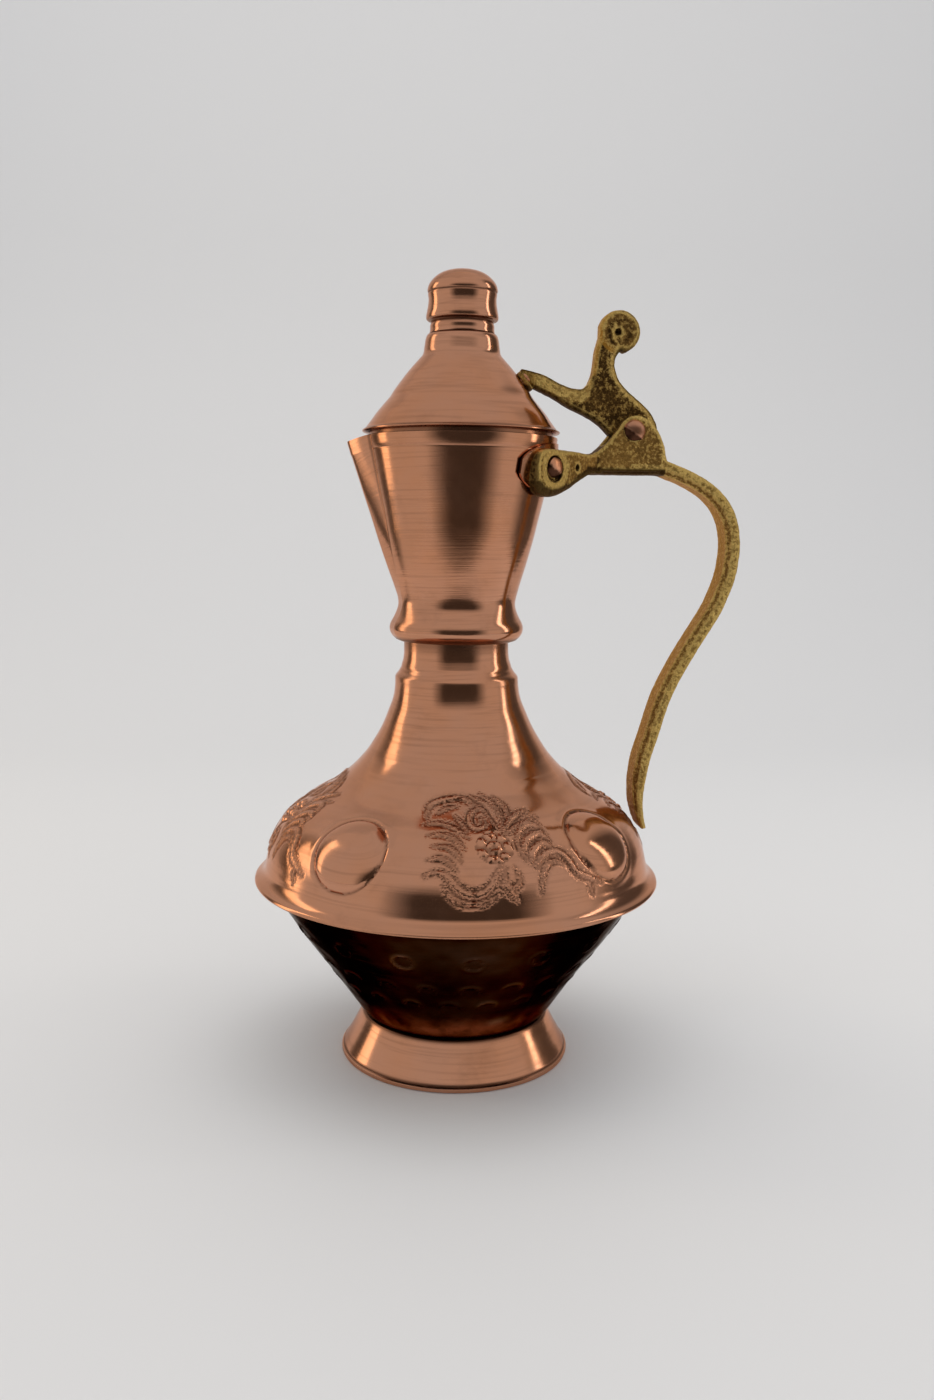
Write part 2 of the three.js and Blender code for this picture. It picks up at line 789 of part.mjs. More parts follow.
function cheekShape() {
  const embed = 1.2;
  const shape = new THREE.Shape();
  const left = rimRadius + 4.5 - hingeX;
  shape.moveTo(left, -strapDrop - embed);
  shape.lineTo(forkBackReach - 0.4, -strapDrop - embed);
  shape.lineTo(forkBackReach - 0.2, -strapDrop + 1);
  shape.splineThru([at(10.2, -4.4), at(8.0, 0.2), at(5.4, 3.3)]);
  shape.splineThru([at(2.6, cheekRadius * 0.93), at(0, cheekRadius), at(-2.9, cheekRadius * 0.83)]);
  shape.splineThru([at(-4.9, 1.9), at(-5.9, -1.1), at(-8.6, -4.6), at(-12.6, -7.1)]);
  shape.splineThru([at(-17.6, -7.2), at(left, -6.4)]);
  shape.closePath();
  return shape;
}

function handle() {
  const cheeks = profilePlate(cheekShape(), forkWidth, 4);
  cheeks.translate(hingeX, 0, hingeZ);
  const casting = Manifold.union([pad(), strap(), cheeks].map(solidOf));
  const slotLength = forkBackReach + 14;
  const slot = new THREE.BoxGeometry(slotLength, leverWidth + 2 * clear, 20);
  slot.translate(hingeX - 9.2 + slotLength / 2, 0, strapBack + 10);
  const bore = along(
    rod(hingeShankRadius + clear, -forkWidth, forkWidth),
    new THREE.Vector3(hingeX, 0, hingeZ),
    new THREE.Vector3(0, 1, 0),
  );
  const recesses = [1, -1].map((side) => {
    const { origin, normal } = padFrame(side);
    return along(rod(padRecessRadius, padFaceLift() - padRecessDepth, 20), origin, normal);
  });
  const holes = [1, -1].map((side) => padRivetHole(side));
  const tools = [slot, bore, ...recesses, ...holes].map(solidOf);
  return geometryOf(casting.subtract(Manifold.union(tools)));
}

// Lever with its thumb scroll and the leaf that holds the lid

const leafLevel = lidBase + lidEdgeHeight + lidConeRise * 0.66;

function leverShape() {
  const scroll = at(-scrollSetback, scrollRise);
  const armEnd = wallPoint(lidPath, leafLevel + 1.4, 0, clear + 0.5);
  const tip = at(armEnd.x - hingeX, armEnd.z - hingeZ);
  const shape = new THREE.Shape();
  shape.moveTo(tip.x, tip.y);
  shape.lineTo(tip.x - 0.5, tip.y + armThickness);
  shape.splineThru([
    at(tip.x * 0.78, tip.y + 1.7),
    at(tip.x * 0.55, 13.9),
    at(-15.9, 13.7),
    at(-14.3, 15.6),
    at(-13.2, 20),
    at(-12.9, 24.5),
    at(scroll.x - scrollRadius * 0.96, scroll.y - scrollRadius * 0.28),
  ]);
  shape.absarc(scroll.x, scroll.y, scrollRadius, Math.PI + 0.28, -1.7, true);
  shape.splineThru([at(-6.7, 19.5), at(-5.6, 16), at(-1.4, 12), at(5.1, 7.1), at(heelReach, 1.3)]);
  shape.lineTo(heelReach * 0.93, -1.6);
  shape.absarc(0, 0, bossRadius, -0.6, Math.PI + 0.5, true);
  shape.lineTo(-8.0, -0.2);
  shape.splineThru([at(-11.4, 3.2), at(-17.5, 6.3), at(-25, 10.4), at(tip.x * 0.86, tip.y - 2.2), tip]);
  const eye = new THREE.Path();
  eye.absarc(scroll.x, scroll.y, scrollEyeRadius, 0, 2 * Math.PI, false);
  shape.holes.push(eye);
  return shape;
}

function leaf() {
  const grid = (lift) => {
    const rows = [];
    const columns = 10;
    for (let i = 0; i <= 3; i += 1) {
      rows.push([]);
      for (let j = 0; j <= columns; j += 1) {
        const across = mix(-1, 1, j / columns);
        const half = (leafLength / 2) * Math.sqrt(1 - 0.8 * across ** 4);
        const z = leafLevel + mix(-half, half, i / 3);
        rows[i].push(wallPoint(lidPath, z, across * leafHalfAngle, lift));
      }
    }
    return rows;
  };
  return slab(grid(clear), grid(clear + leafThickness));
}

function lidFrame(side) {
  return wallFrame(lidPath, leafLevel, side * lidRivetAngle);
}

function lidRivetHole(side) {
  const { origin, normal } = lidFrame(side);
  return along(rod(lidShankRadius + clear, -4, 4), origin, normal);
}

function lever() {
  const plate = profilePlate(leverShape(), leverWidth, 6);
  plate.translate(hingeX, 0, hingeZ);
  const bore = along(
    rod(hingeShankRadius + clear, -forkWidth, forkWidth),
    new THREE.Vector3(hingeX, 0, hingeZ),
    new THREE.Vector3(0, 1, 0),
  );
  const holes = [1, -1].map((side) => lidRivetHole(side));
  const casting = Manifold.union([plate, leaf()].map(solidOf));
  return geometryOf(casting.subtract(Manifold.union([bore, ...holes].map(solidOf))));
}

// Rivets and roves

function hingeRivet() {
  const half = forkWidth / 2 + 0.1;
  const pin = rivet(
    hingeShankRadius, -half, half, hingeHeadRadius, hingeHeadHeight, hingeHeadRadius, hingeHeadHeight,
  );
  return along(pin, new THREE.Vector3(hingeX, 0, hingeZ), new THREE.Vector3(0, 1, 0));
}

const roveOuter = -sheet - roveStandoff;

function padRivet(side) {
  const { origin, normal } = padFrame(side);
  const from = roveOuter - roveThickness - 0.1;
  const to = padFaceLift() - padRecessDepth + 0.1;
  const pin = rivet(padShankRadius, from, to, padHeadRadius, padHeadHeight, padShankRadius * 1.4, 1.0);
  return along(pin, origin, normal);
}

function rove(side) {
  const { origin, normal } = padFrame(side);
  const ring = turned([
    at(padShankRadius + clear, roveOuter),
    at(padShankRadius + clear, roveOuter - roveThickness),
    at(roveRadius, roveOuter - roveThickness),
    at(roveRadius, roveOuter),
    at(padShankRadius + clear, roveOuter),
  ], rivetSteps);
  return along(ring, origin, normal);
}

function lidRivet(side) {
  const { origin, normal } = lidFrame(side);
  const from = -sheet - 0.2;
  const to = clear + leafThickness + 0.15;
  const pin = rivet(lidShankRadius, from, to, lidHeadRadius, lidHeadHeight, lidHeadRadius, lidHeadHeight);
  return along(pin, origin, normal);
}

// Assembly

const finishes = {
  copper: { color: 0xb87355, roughness: 0.22, metalness: 1 },
  brownCopper: { color: 0x7a4a34, roughness: 0.32, metalness: 1 },
  brass: { color: 0xa08448, roughness: 0.5, metalness: 1 },
  rivetCopper: { color: 0xc07a58, roughness: 0.35, metalness: 1 },
};

function piece(name, geometry, finish) {
  const mesh = outward(geometry);
  const node = new THREE.Mesh(mesh, new THREE.MeshStandardMaterial(finishes[finish]));
  node.name = name;
  return node;
}

const vessel = new THREE.Group();
vessel.add(
  piece('foot', foot(), 'copper'),
  piece('lower_bowl', lowerBowl(), 'brownCopper'),
  piece('shoulder', shoulder(), 'copper'),
  piece('cup', cup(), 'copper'),
  piece('saddle_plate', saddlePlate(), 'copper'),
  piece('handle', handle(), 'brass'),
  piece('hinge_rivet', hingeRivet(), 'rivetCopper'),
  piece('pad_rivet_near', padRivet(-1), 'rivetCopper'),
  piece('pad_rivet_far', padRivet(1), 'rivetCopper'),
  piece('pad_rove_near', rove(-1), 'rivetCopper'),
  piece('pad_rove_far', rove(1), 'rivetCopper'),
);

const cover = new THREE.Group();
cover.add(
  piece('lid', lid(), 'copper'),
  piece('finial', finial(), 'copper'),
  piece('lever', lever(), 'brass'),
  piece('lid_rivet_near', lidRivet(-1), 'rivetCopper'),
  piece('lid_rivet_far', lidRivet(1), 'rivetCopper'),
);

const ewer = new THREE.Group();
ewer.add(vessel, cover);
ewer.updateMatrixWorld(true);
const box = new THREE.Box3().setFromObject(ewer);
ewer.position.x = -(box.min.x + box.max.x) / 2;

export default ewer;
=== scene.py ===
import json
import math

import bmesh
import bpy
import numpy as np
from mathutils import Matrix, Vector


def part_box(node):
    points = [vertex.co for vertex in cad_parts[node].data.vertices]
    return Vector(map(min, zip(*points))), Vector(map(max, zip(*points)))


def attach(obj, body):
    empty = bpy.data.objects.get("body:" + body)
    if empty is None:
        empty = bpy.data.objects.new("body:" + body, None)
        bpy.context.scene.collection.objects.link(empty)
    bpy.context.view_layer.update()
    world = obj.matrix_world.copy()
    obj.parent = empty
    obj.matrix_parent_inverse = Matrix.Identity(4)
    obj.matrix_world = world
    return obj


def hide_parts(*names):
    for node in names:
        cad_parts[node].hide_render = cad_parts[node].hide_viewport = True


bl_info = {
    "name": "Copper ewer",
    "version": (1, 0, 0),
    "blender": (4, 5, 0),
    "location": "3D View > Sidebar > Ewer",
    "description": "Builds a copper ewer with a hinged lid and a cast brass handle",
    "category": "Add Mesh",
}

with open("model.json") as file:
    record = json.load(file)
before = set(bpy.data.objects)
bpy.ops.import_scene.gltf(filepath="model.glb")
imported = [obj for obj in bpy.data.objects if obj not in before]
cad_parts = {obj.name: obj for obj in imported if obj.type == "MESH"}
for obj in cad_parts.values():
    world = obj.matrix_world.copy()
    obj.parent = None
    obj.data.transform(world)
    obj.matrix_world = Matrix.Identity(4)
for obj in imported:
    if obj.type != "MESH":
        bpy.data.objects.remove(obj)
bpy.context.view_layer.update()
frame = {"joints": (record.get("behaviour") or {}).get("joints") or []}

# All shapes are drawn in millimetres about the vessel's own axis, and moved into the frame at the end
MM = 0.001
FOOT_LOW, FOOT_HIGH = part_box("foot")
AXIS_X = (FOOT_LOW.x + FOOT_HIGH.x) / 2
TO_FRAME = Matrix.Translation((AXIS_X, 0, 0)) @ Matrix.Scale(MM, 4)
HINGE_X = frame["joints"][0]["pos_m"][0] / MM - AXIS_X / MM
HINGE_Z = frame["joints"][0]["pos_m"][2] / MM
FULL_TURN = 2 * math.pi

# Outlines of the turned pieces as (radius, height), each from the bottom up

FOOT_SIDE = [(38.1, 2.2), (36.5, 4.9), (34.6, 8.4), (32.9, 11.7), (31.6, 14.2)]
BOWL_SIDE = [
    (31.6, 15.5), (33.2, 17.3), (37.6, 23.7), (44.7, 33.9), (52.2, 44.1), (57.5, 52.2), (61.6, 58.4),
    (63.6, 60.9),
]
SHOULDER_SIDE = [
    (64.4, 66.0), (64.1, 67.5), (63.7, 69.2), (63.3, 71.1), (62.8, 73.0), (62.0, 75.2), (60.9, 77.4),
    (59.6, 79.6), (58.0, 81.7), (56.0, 83.7), (53.2, 85.8), (49.8, 88.2), (43.4, 91.8), (36.9, 96.9),
    (33.6, 100.0), (30.2, 104.0), (27.0, 109.0), (24.8, 113.1), (22.8, 118.0), (21.6, 121.0),
    (20.9, 123.8), (20.55, 126.4),
]
CUP_SIDE = [
    (19.5, 153.4), (19.9, 156.4), (20.7, 160.0), (21.8, 164.0), (23.2, 169.4), (24.6, 175.2),
    (26.1, 182.2), (27.7, 189.3), (29.2, 196.4), (30.6, 203.0),
]
LID_SIDE = [
    (31.2, 209.4), (29.4, 211.8), (27.3, 214.7), (24.6, 217.9), (23.1, 219.7), (21.7, 221.9),
    (19.4, 225.0), (17.4, 227.6), (15.5, 229.8), (13.7, 231.8), (12.9, 232.7), (12.4, 233.7),
    (12.2, 235.0), (12.0, 236.4), (11.8, 237.8), (11.5, 238.8), (11.1, 239.35),
]
FINIAL_SIDE = [
    (10.5, 240.0), (10.35, 241.0), (10.35, 242.0), (10.15, 242.8), (10.0, 243.4), (10.4, 243.75),
    (11.3, 243.9), (11.6, 244.4), (11.6, 245.4), (11.3, 247.0), (11.0, 248.8), (10.9, 250.4),
    (11.05, 251.6), (11.1, 252.0), (10.95, 252.4), (11.25, 252.8), (11.2, 253.8), (10.7, 255.1),
    (9.7, 256.4), (8.2, 257.7), (6.3, 258.7), (4.1, 259.35),
]

# Strokes of the leaf spray on the shoulder: raise, half width, (degrees from the spray's centre, height)
SPRAY = [
    (0.45, 0.9, [(-25.9, 89.6), (-20.1, 90.0), (-14.5, 89.0), (-10.1, 86.9)]),
    (0.45, 0.9, [(-23.6, 87.2), (-17.8, 87.5), (-13.4, 86.0), (-11.6, 84.2)]),
    (0.45, 0.9, [(-21.5, 84.9), (-16.5, 84.8), (-13.6, 83.0), (-12.5, 81.2)]),
    (0.45, 0.9, [(-22.4, 81.6), (-18.6, 82.1), (-15.7, 80.9), (-13.7, 78.9)]),
    (0.6, 1.0, [(-25.5, 90.9), (-25.6, 94.0), (-19.4, 95.6), (-11.0, 95.9), (-4.8, 93.9)]),
    (0.4, 0.7, [(-21.9, 91.9), (-18.1, 93.6), (-13.4, 93.9)]),
    (0.4, 0.7, [(-14.6, 91.8), (-12.3, 90.3), (-10.0, 88.4)]),
    (0.6, 0.9, [
        (-1.3, 92.4), (-3.9, 93.5), (-8.0, 92.5), (-8.9, 90.3), (-6.6, 89.0), (-3.4, 89.8), (-4.6, 91.3),
    ]),
    (0.6, 1.1, [(-7.8, 96.4), (-1.7, 94.6), (1.8, 91.2), (2.3, 88.0)]),
    (0.5, 0.9, [(-3.2, 96.9), (1.5, 94.6), (4.0, 90.8)]),
    (0.5, 0.9, [(3.0, 96.2), (7.0, 93.2), (5.2, 89.6)]),
    (0.6, 1.1, [(2.4, 88.2), (7.5, 90.8), (15.5, 92.4)]),
    (0.5, 0.9, [(2.0, 87.3), (9.6, 89.4), (18.0, 90.5)]),
    (0.7, 1.2, [(6.1, 86.0), (9.1, 88.5), (14.1, 89.2), (16.8, 87.6)]),
    (0.7, 1.2, [(6.7, 83.4), (9.7, 86.0), (15.4, 87.0), (17.1, 85.2)]),
    (0.7, 1.2, [(8.0, 80.4), (10.5, 83.6), (15.1, 84.7), (16.8, 82.6)]),
    (0.4, 0.7, [(5.9, 87.4), (5.8, 84.2), (7.1, 81.2), (9.5, 79.0)]),
    (0.7, 1.1, [
        (-22.7, 77.4), (-19.7, 78.5), (-16.4, 77.6), (-14.1, 74.8), (-10.7, 72.6), (-7.0, 72.8), (-4.2, 75.2),
        (-2.5, 78.2), (-1.1, 80.2),
    ]),
    (0.5, 0.8, [(-17.4, 75.2), (-15.4, 72.3), (-11.5, 70.3), (-6.2, 70.5), (-2.2, 72.4)]),
    (0.5, 0.8, [(0.5, 79.6), (-0.4, 77.1), (0.7, 74.4), (3.3, 74.8), (3.7, 77.6), (2.6, 79.8)]),
    (0.6, 0.9, [(-2.8, 75.4), (-0.4, 74.5), (1.4, 72.1), (2.7, 70.6)]),
    (0.8, 1.2, [
        (9.5, 79.0), (11.7, 81.3), (15.4, 82.5), (18.7, 81.9), (20.4, 79.9), (22.2, 76.4), (26.3, 74.0),
        (30.4, 72.0),
    ]),
    (0.5, 0.9, [(9.4, 72.2), (10.7, 76.2), (12.8, 79.2), (16.2, 80.1), (19.0, 78.5)]),
    (0.4, 0.8, [(25.9, 73.2), (26.8, 68.4)]),
]
SPRAY_ANGLES = (-82, -175, 8, 97)
ROSETTE = (-2.0, 84.6)
ROSETTE_RADIUS = 4.3
# Middle of each roundel as (degrees, height)
ROUNDELS = ((-130, 81.2), (-44.5, 82.4), (50, 81.8), (140, 81.8))

# Casting outlines in the handle's plane, as (distance from the axis, height)

PAD_SIDE = [
    (21.0, 196.0), (21.5, 200.5), (24.0, 202.0), (31.0, 202.1), (36.5, 201.9), (41.0, 201.7), (48.0, 202.0),
    (48.0, 196.6), (42.0, 196.0), (38.0, 194.0), (34.0, 191.9), (29.0, 190.2), (24.0, 190.6), (21.6, 192.6),
]
# One flank's lug, as (distance along the flank from the lugs' place, height)
LUG_SIDE = [
    (-7.3, 196.4), (-7.1, 198.8), (-6.2, 200.8), (-4.3, 202.2), (-1.6, 202.8), (1.5, 202.9), (5.7, 202.8),
    (9.0, 202.7), (12.4, 202.6), (16.0, 202.3), (19.5, 202.1), (23.5, 202.1), (23.5, 196.5), (19.5, 195.7),
    (15.0, 193.4), (9.7, 190.5), (4.5, 188.6), (0.3, 188.0), (-3.3, 188.6), (-5.8, 190.5), (-7.0, 193.2),
]
# The lug's lower edge, as (distance along the flank, height)
LUG_FOOT = [
    (-5.8, 190.5), (-3.3, 188.6), (0.3, 188.0), (4.5, 188.6), (9.7, 190.5), (15.0, 193.4), (19.5, 195.7),
]
FORK_SIDE = [
    (36.0, 196.8), (36.0, 201.7), (41.2, 202.0), (44.6, 203.6), (47.4, 206.3), (50.3, 210.0), (52.6, 213.2),
    (55.0, 214.7), (57.6, 214.9), (60.2, 213.9), (62.6, 212.0), (64.6, 209.2), (66.2, 205.6), (66.9, 202.4),
    (67.6, 199.9), (64.0, 197.2),
]
STRAP_BACK = [
    (38.0, 200.7), (48.0, 200.7), (58.0, 200.7), (66.4, 200.7), (71.2, 199.2), (76.8, 197.0), (83.6, 193.1),
    (88.9, 187.9), (92.0, 181.9), (93.2, 176.1), (93.3, 169.8), (92.1, 162.0), (89.5, 154.8), (86.8, 149.1),
    (78.0, 134.5), (71.6, 121.7), (67.4, 108.0), (65.5, 101.9), (64.2, 95.8), (63.3, 89.6), (63.2, 84.8),
    (63.7, 80.6), (64.5, 77.3),
]
LEVER_ARM_TOP = [
    (19.2, 229.2), (21.8, 228.7), (26.6, 227.4), (31.6, 225.0), (35.8, 223.5), (39.4, 223.4), (41.3, 225.0),
]
LEVER_STEM_LEFT = [(41.3, 225.0), (42.6, 228.4), (43.1, 232.4), (43.6, 236.2), (44.9, 241.0)]
LEVER_STEM_RIGHT = [
    (51.9, 235.9), (50.5, 234.2), (49.8, 231.2), (51.3, 226.6), (54.2, 223.3), (57.8, 220.3), (61.4, 217.2),
    (63.6, 214.1), (64.7, 211.3), (64.3, 208.8),
]
LEVER_LOW = [
    (51.8, 207.9), (48.6, 208.9), (46.6, 211.0), (43.3, 213.4), (39.4, 215.4), (35.0, 217.4), (30.1, 220.2),
    (25.1, 222.5), (21.0, 224.4), (19.0, 226.4),
]
SCROLL_CENTRE = (51.2, 241.8)
SCROLL_RADIUS = 6.8
BOSS_RADIUS = 5.0
# How much of the way that a flank of the pad faces lies along X, and how much along Y
FLANK_X, FLANK_Y = 0.658, 0.753
# Where the lugs are drawn from, as (distance from the axis, distance from the handle's middle plane)
LUG_PLACE = (26.7, 21.2)
SEAT_RADIUS = 4.1


class EwerSizes(bpy.types.PropertyGroup):
    """Sizes of the ewer that can be changed by hand."""
    seam_radius: bpy.props.FloatProperty(
        name="Seam radius", description="Radius of the folded seam round the belly, in millimetres",
        default=67.9)
    foot_radius: bpy.props.FloatProperty(
        name="Foot radius", description="Radius of the foot's rim, in millimetres", default=38.9)
    lip_reach: bpy.props.FloatProperty(
        name="Lip reach", description="How far the pouring lip stands out from the rim, in millimetres",
        default=6.1)
    lip_dip: bpy.props.FloatProperty(
        name="Lip dip", description="How far the lip's tip lies below the rim, in millimetres", default=2.0)
    lip_half_angle: bpy.props.FloatProperty(
        name="Lip half angle", description="Angle between the lip's tip and each fold",
        default=math.radians(17.5), subtype="ANGLE", unit="ROTATION")
    roundel_radius: bpy.props.FloatProperty(
        name="Roundel radius", description="Radius of the raised bosses, in millimetres", default=12.4)
    roundel_height: bpy.props.FloatProperty(
        name="Roundel height", description="How far the bosses stand out, in millimetres", default=1.9)
    spray_relief: bpy.props.FloatProperty(
        name="Spray relief", description="Multiplies the height of the leaf sprays", default=1.0, min=0)
    hammer_depth: bpy.props.FloatProperty(
        name="Hammer depth", description="Depth of the hammer marks on the bowl, in millimetres",
        default=0.12)
    strap_width: bpy.props.FloatProperty(
        name="Strap width", description="Width of the handle's strap, in millimetres", default=12.0)
    strap_depth: bpy.props.FloatProperty(
        name="Strap depth", description="Thickness of the handle's strap, in millimetres", default=4.6)
    strap_chamfer: bpy.props.FloatProperty(
        name="Strap chamfer", description="Bevel on the strap's inner edges, in millimetres", default=1.7)
    lever_width: bpy.props.FloatProperty(
        name="Lever width", description="Thickness of the thumb lever, in millimetres", default=6.0)
    grain_depth: bpy.props.FloatProperty(
        name="Casting grain", description="Depth of the sand grain on the castings, in millimetres",
        default=0.07)


class EwerFinishes(bpy.types.PropertyGroup):
    """Colours of the ewer that can be changed by hand."""
    copper: bpy.props.FloatVectorProperty(
        name="Copper", description="Polished copper", default=(0.58, 0.285, 0.178), subtype="COLOR",
        min=0, max=1)
    # Warm copper also colours the painted warm reflection and highlights on the bowl.
    warm_copper: bpy.props.FloatVectorProperty(
        name="Warm copper", description="Tint of the warmer clouds in the copper",
        default=(0.60, 0.255, 0.125), subtype="COLOR", min=0, max=1)
    # Tarnish also colours the painted shade under the cup's bead, under the lid's rim and in the finial's
    # undercut.
    tarnish_and_shade: bpy.props.FloatVectorProperty(
        name="Tarnish", description="Brown that stays in grooves and seams", default=(0.085, 0.035, 0.020),
        subtype="COLOR", min=0, max=1)
    # The bowl's near-black copper is a painted dark reflection over a slightly darker patina.
    brown_copper: bpy.props.FloatVectorProperty(
        name="Brown copper", description="Patinated copper of the bowl", default=(0.020, 0.009, 0.005),
        subtype="COLOR", min=0, max=1)
    brass: bpy.props.FloatVectorProperty(
        name="Brass", description="Cast brass on open faces", default=(0.42, 0.24, 0.066), subtype="COLOR",
        min=0, max=1)
    # Worn brass is both rubbed wear and the painted highlight on lit faces and edges.
    worn_and_highlit_brass: bpy.props.FloatVectorProperty(
        name="Worn brass", description="Rubbed edges of the castings", default=(0.70, 0.49, 0.155),
        subtype="COLOR", min=0, max=1)
    # Painted warm reflection: the orange stands for warm light mirrored on the strap's inner face and the
    # lever's left side.
    warm_reflection_brass: bpy.props.FloatVectorProperty(
        name="Warm brass", description="Orange skin on the strap's inner face", default=(0.50, 0.25, 0.042),
        subtype="COLOR", min=0, max=1)
    # Brown brass also colours the painted shade on undersides and shaded faces.
    brown_brass: bpy.props.FloatVectorProperty(
        name="Brown brass", description="Brown skin in the castings' hollows", default=(0.062, 0.032, 0.010),
        subtype="COLOR", min=0, max=1)
    floor: bpy.props.FloatVectorProperty(
        name="Floor", description="Studio floor and backdrop", default=(0.80, 0.80, 0.80), subtype="COLOR",
        min=0, max=1)


# Lines and meshes


def flowing(points, gap):
    """Points about gap apart along a smooth line through the given points."""
    line = [Vector(p) for p in points]
    first = line[0] * 2 - line[1]
    last = line[-1] * 2 - line[-2]
    line = [first] + line + [last]
    out = []
    for before, a, b, after in zip(line, line[1:], line[2:], line[3:]):
        count = max(1, round((b - a).length / gap))
        for i in range(count):
            t = i / count
            out.append(0.5 * (
                a * 2 + (b - before) * t + (before * 2 - a * 5 + b * 4 - after) * t * t
                + (a * 3 - before - b * 3 + after) * t ** 3))
    out.append(line[-2])
    return out


def radius_at(side, height):
    """The radius of a turned piece's outline at a height."""
    return float(np.interp(height, [p[1] for p in side], [p[0] for p in side]))


def spun(loop, steps, closed=True, turn=FULL_TURN, start=0.0):
    """A bmesh turned about the vessel's axis from a line of (radius, height) points."""
    mesh = bmesh.new()
    ring = [mesh.verts.new((r * math.cos(start), r * math.sin(start), z)) for r, z in loop]
    pairs = list(zip(ring, ring[1:]))
    if closed:
        pairs.append((ring[-1], ring[0]))
    edges = [mesh.edges.new(pair) for pair in pairs]
    whole = abs(turn - FULL_TURN) < 1e-6
    bmesh.ops.spin(
        mesh, geom=ring + edges, cent=(0, 0, 0), axis=(0, 0, 1), angle=turn, steps=steps, use_merge=whole)
    bmesh.ops.remove_doubles(mesh, verts=mesh.verts, dist=1e-4)
    if not whole:
        bmesh.ops.holes_fill(mesh, edges=[e for e in mesh.edges if e.is_boundary])
    bmesh.ops.recalc_face_normals(mesh, faces=mesh.faces)
    return mesh


def drawn_out(corners, way):
    """A closed bmesh of one face drawn out along a vector."""
    mesh = bmesh.new()
    face = mesh.faces.new([mesh.verts.new(corner) for corner in corners])
    drawn = bmesh.ops.extrude_face_region(mesh, geom=[face])["geom"]
    moved = [v for v in drawn if isinstance(v, bmesh.types.BMVert)]
    bmesh.ops.translate(mesh, verts=moved, vec=way)
    bmesh.ops.recalc_face_normals(mesh, faces=mesh.faces)
    return mesh


def plate(outline, low, high):
    """A bmesh of an outline in the handle's plane, drawn out along Y from low to high."""
    return drawn_out([(x, low, z) for x, z in outline], (0, high - low, 0))


def swept(sections):
    """A closed bmesh that bridges each section, a list of corners, to the next."""
    mesh = bmesh.new()
    loops = []
    for section in sections:
        ring = [mesh.verts.new(corner) for corner in section]
        loops.append([mesh.edges.new(pair) for pair in zip(ring, ring[1:] + ring[:1])])
    for near, far in zip(loops, loops[1:]):
        bmesh.ops.bridge_loops(mesh, edges=near + far)
    bmesh.ops.holes_fill(mesh, edges=loops[0] + loops[-1])
    bmesh.ops.recalc_face_normals(mesh, faces=mesh.faces)
    return mesh


def pin(profile, place, steps=40):
    """A turned solid from (radius, height) points that start and end on its axis, set at place."""
    mesh = spun(profile, steps, closed=False)
    bmesh.ops.transform(mesh, matrix=place, verts=mesh.verts)
    return mesh


def aimed(origin, direction):
    """The matrix that puts a shape at origin with its height along direction."""
    return Matrix.Translation(origin) @ Vector(direction).to_track_quat("Z", "Y").to_matrix().to_4x4()


def with_modifiers(mesh, *steps):
    """The mesh after a chain of modifiers, each (type, settings), and freed of them."""
    held = bpy.data.meshes.new("held")
    mesh.to_mesh(held)
    mesh.free()
    piece = bpy.data.objects.new("held", held)
    bpy.context.scene.collection.objects.link(piece)
    for kind, settings in steps:
        modifier = piece.modifiers.new(kind.title(), kind)
        for key, value in settings.items():
            setattr(modifier, key, value)
    graph = bpy.context.evaluated_depsgraph_get()
    graph.update()
    done = bpy.data.meshes.new_from_object(piece.evaluated_get(graph))
    result = bmesh.new()
    result.from_mesh(done)
    for made in (done, held):
        bpy.data.meshes.remove(made)
    return result


def fused(mesh, cell, rounds):
    """Overlapping closed shells melted into one skin with softened edges."""
    return with_modifiers(
        mesh,
        ("REMESH", {"mode": "VOXEL", "voxel_size": cell, "adaptivity": 0.0}),
        ("SMOOTH", {"factor": 0.5, "iterations": rounds}),
    )


def combined(mesh, operation, tools):
    """The mesh after an exact boolean with each tool in turn."""
    for cutter in tools:
        held = bpy.data.meshes.new("tool")
        cutter.to_mesh(held)
        cutter.free()
        tool = bpy.data.objects.new("tool", held)
        bpy.context.scene.collection.objects.link(tool)
        mesh = with_modifiers(mesh, ("BOOLEAN", {"operation": operation, "object": tool, "solver": "EXACT"}))
        bpy.data.objects.remove(tool)
        bpy.data.meshes.remove(held)
    return mesh


def carved(mesh, *tools):
    """The mesh with the tools cut away."""
    return combined(mesh, "DIFFERENCE", tools)


# Surface detail, as moves of the points of a finished skin


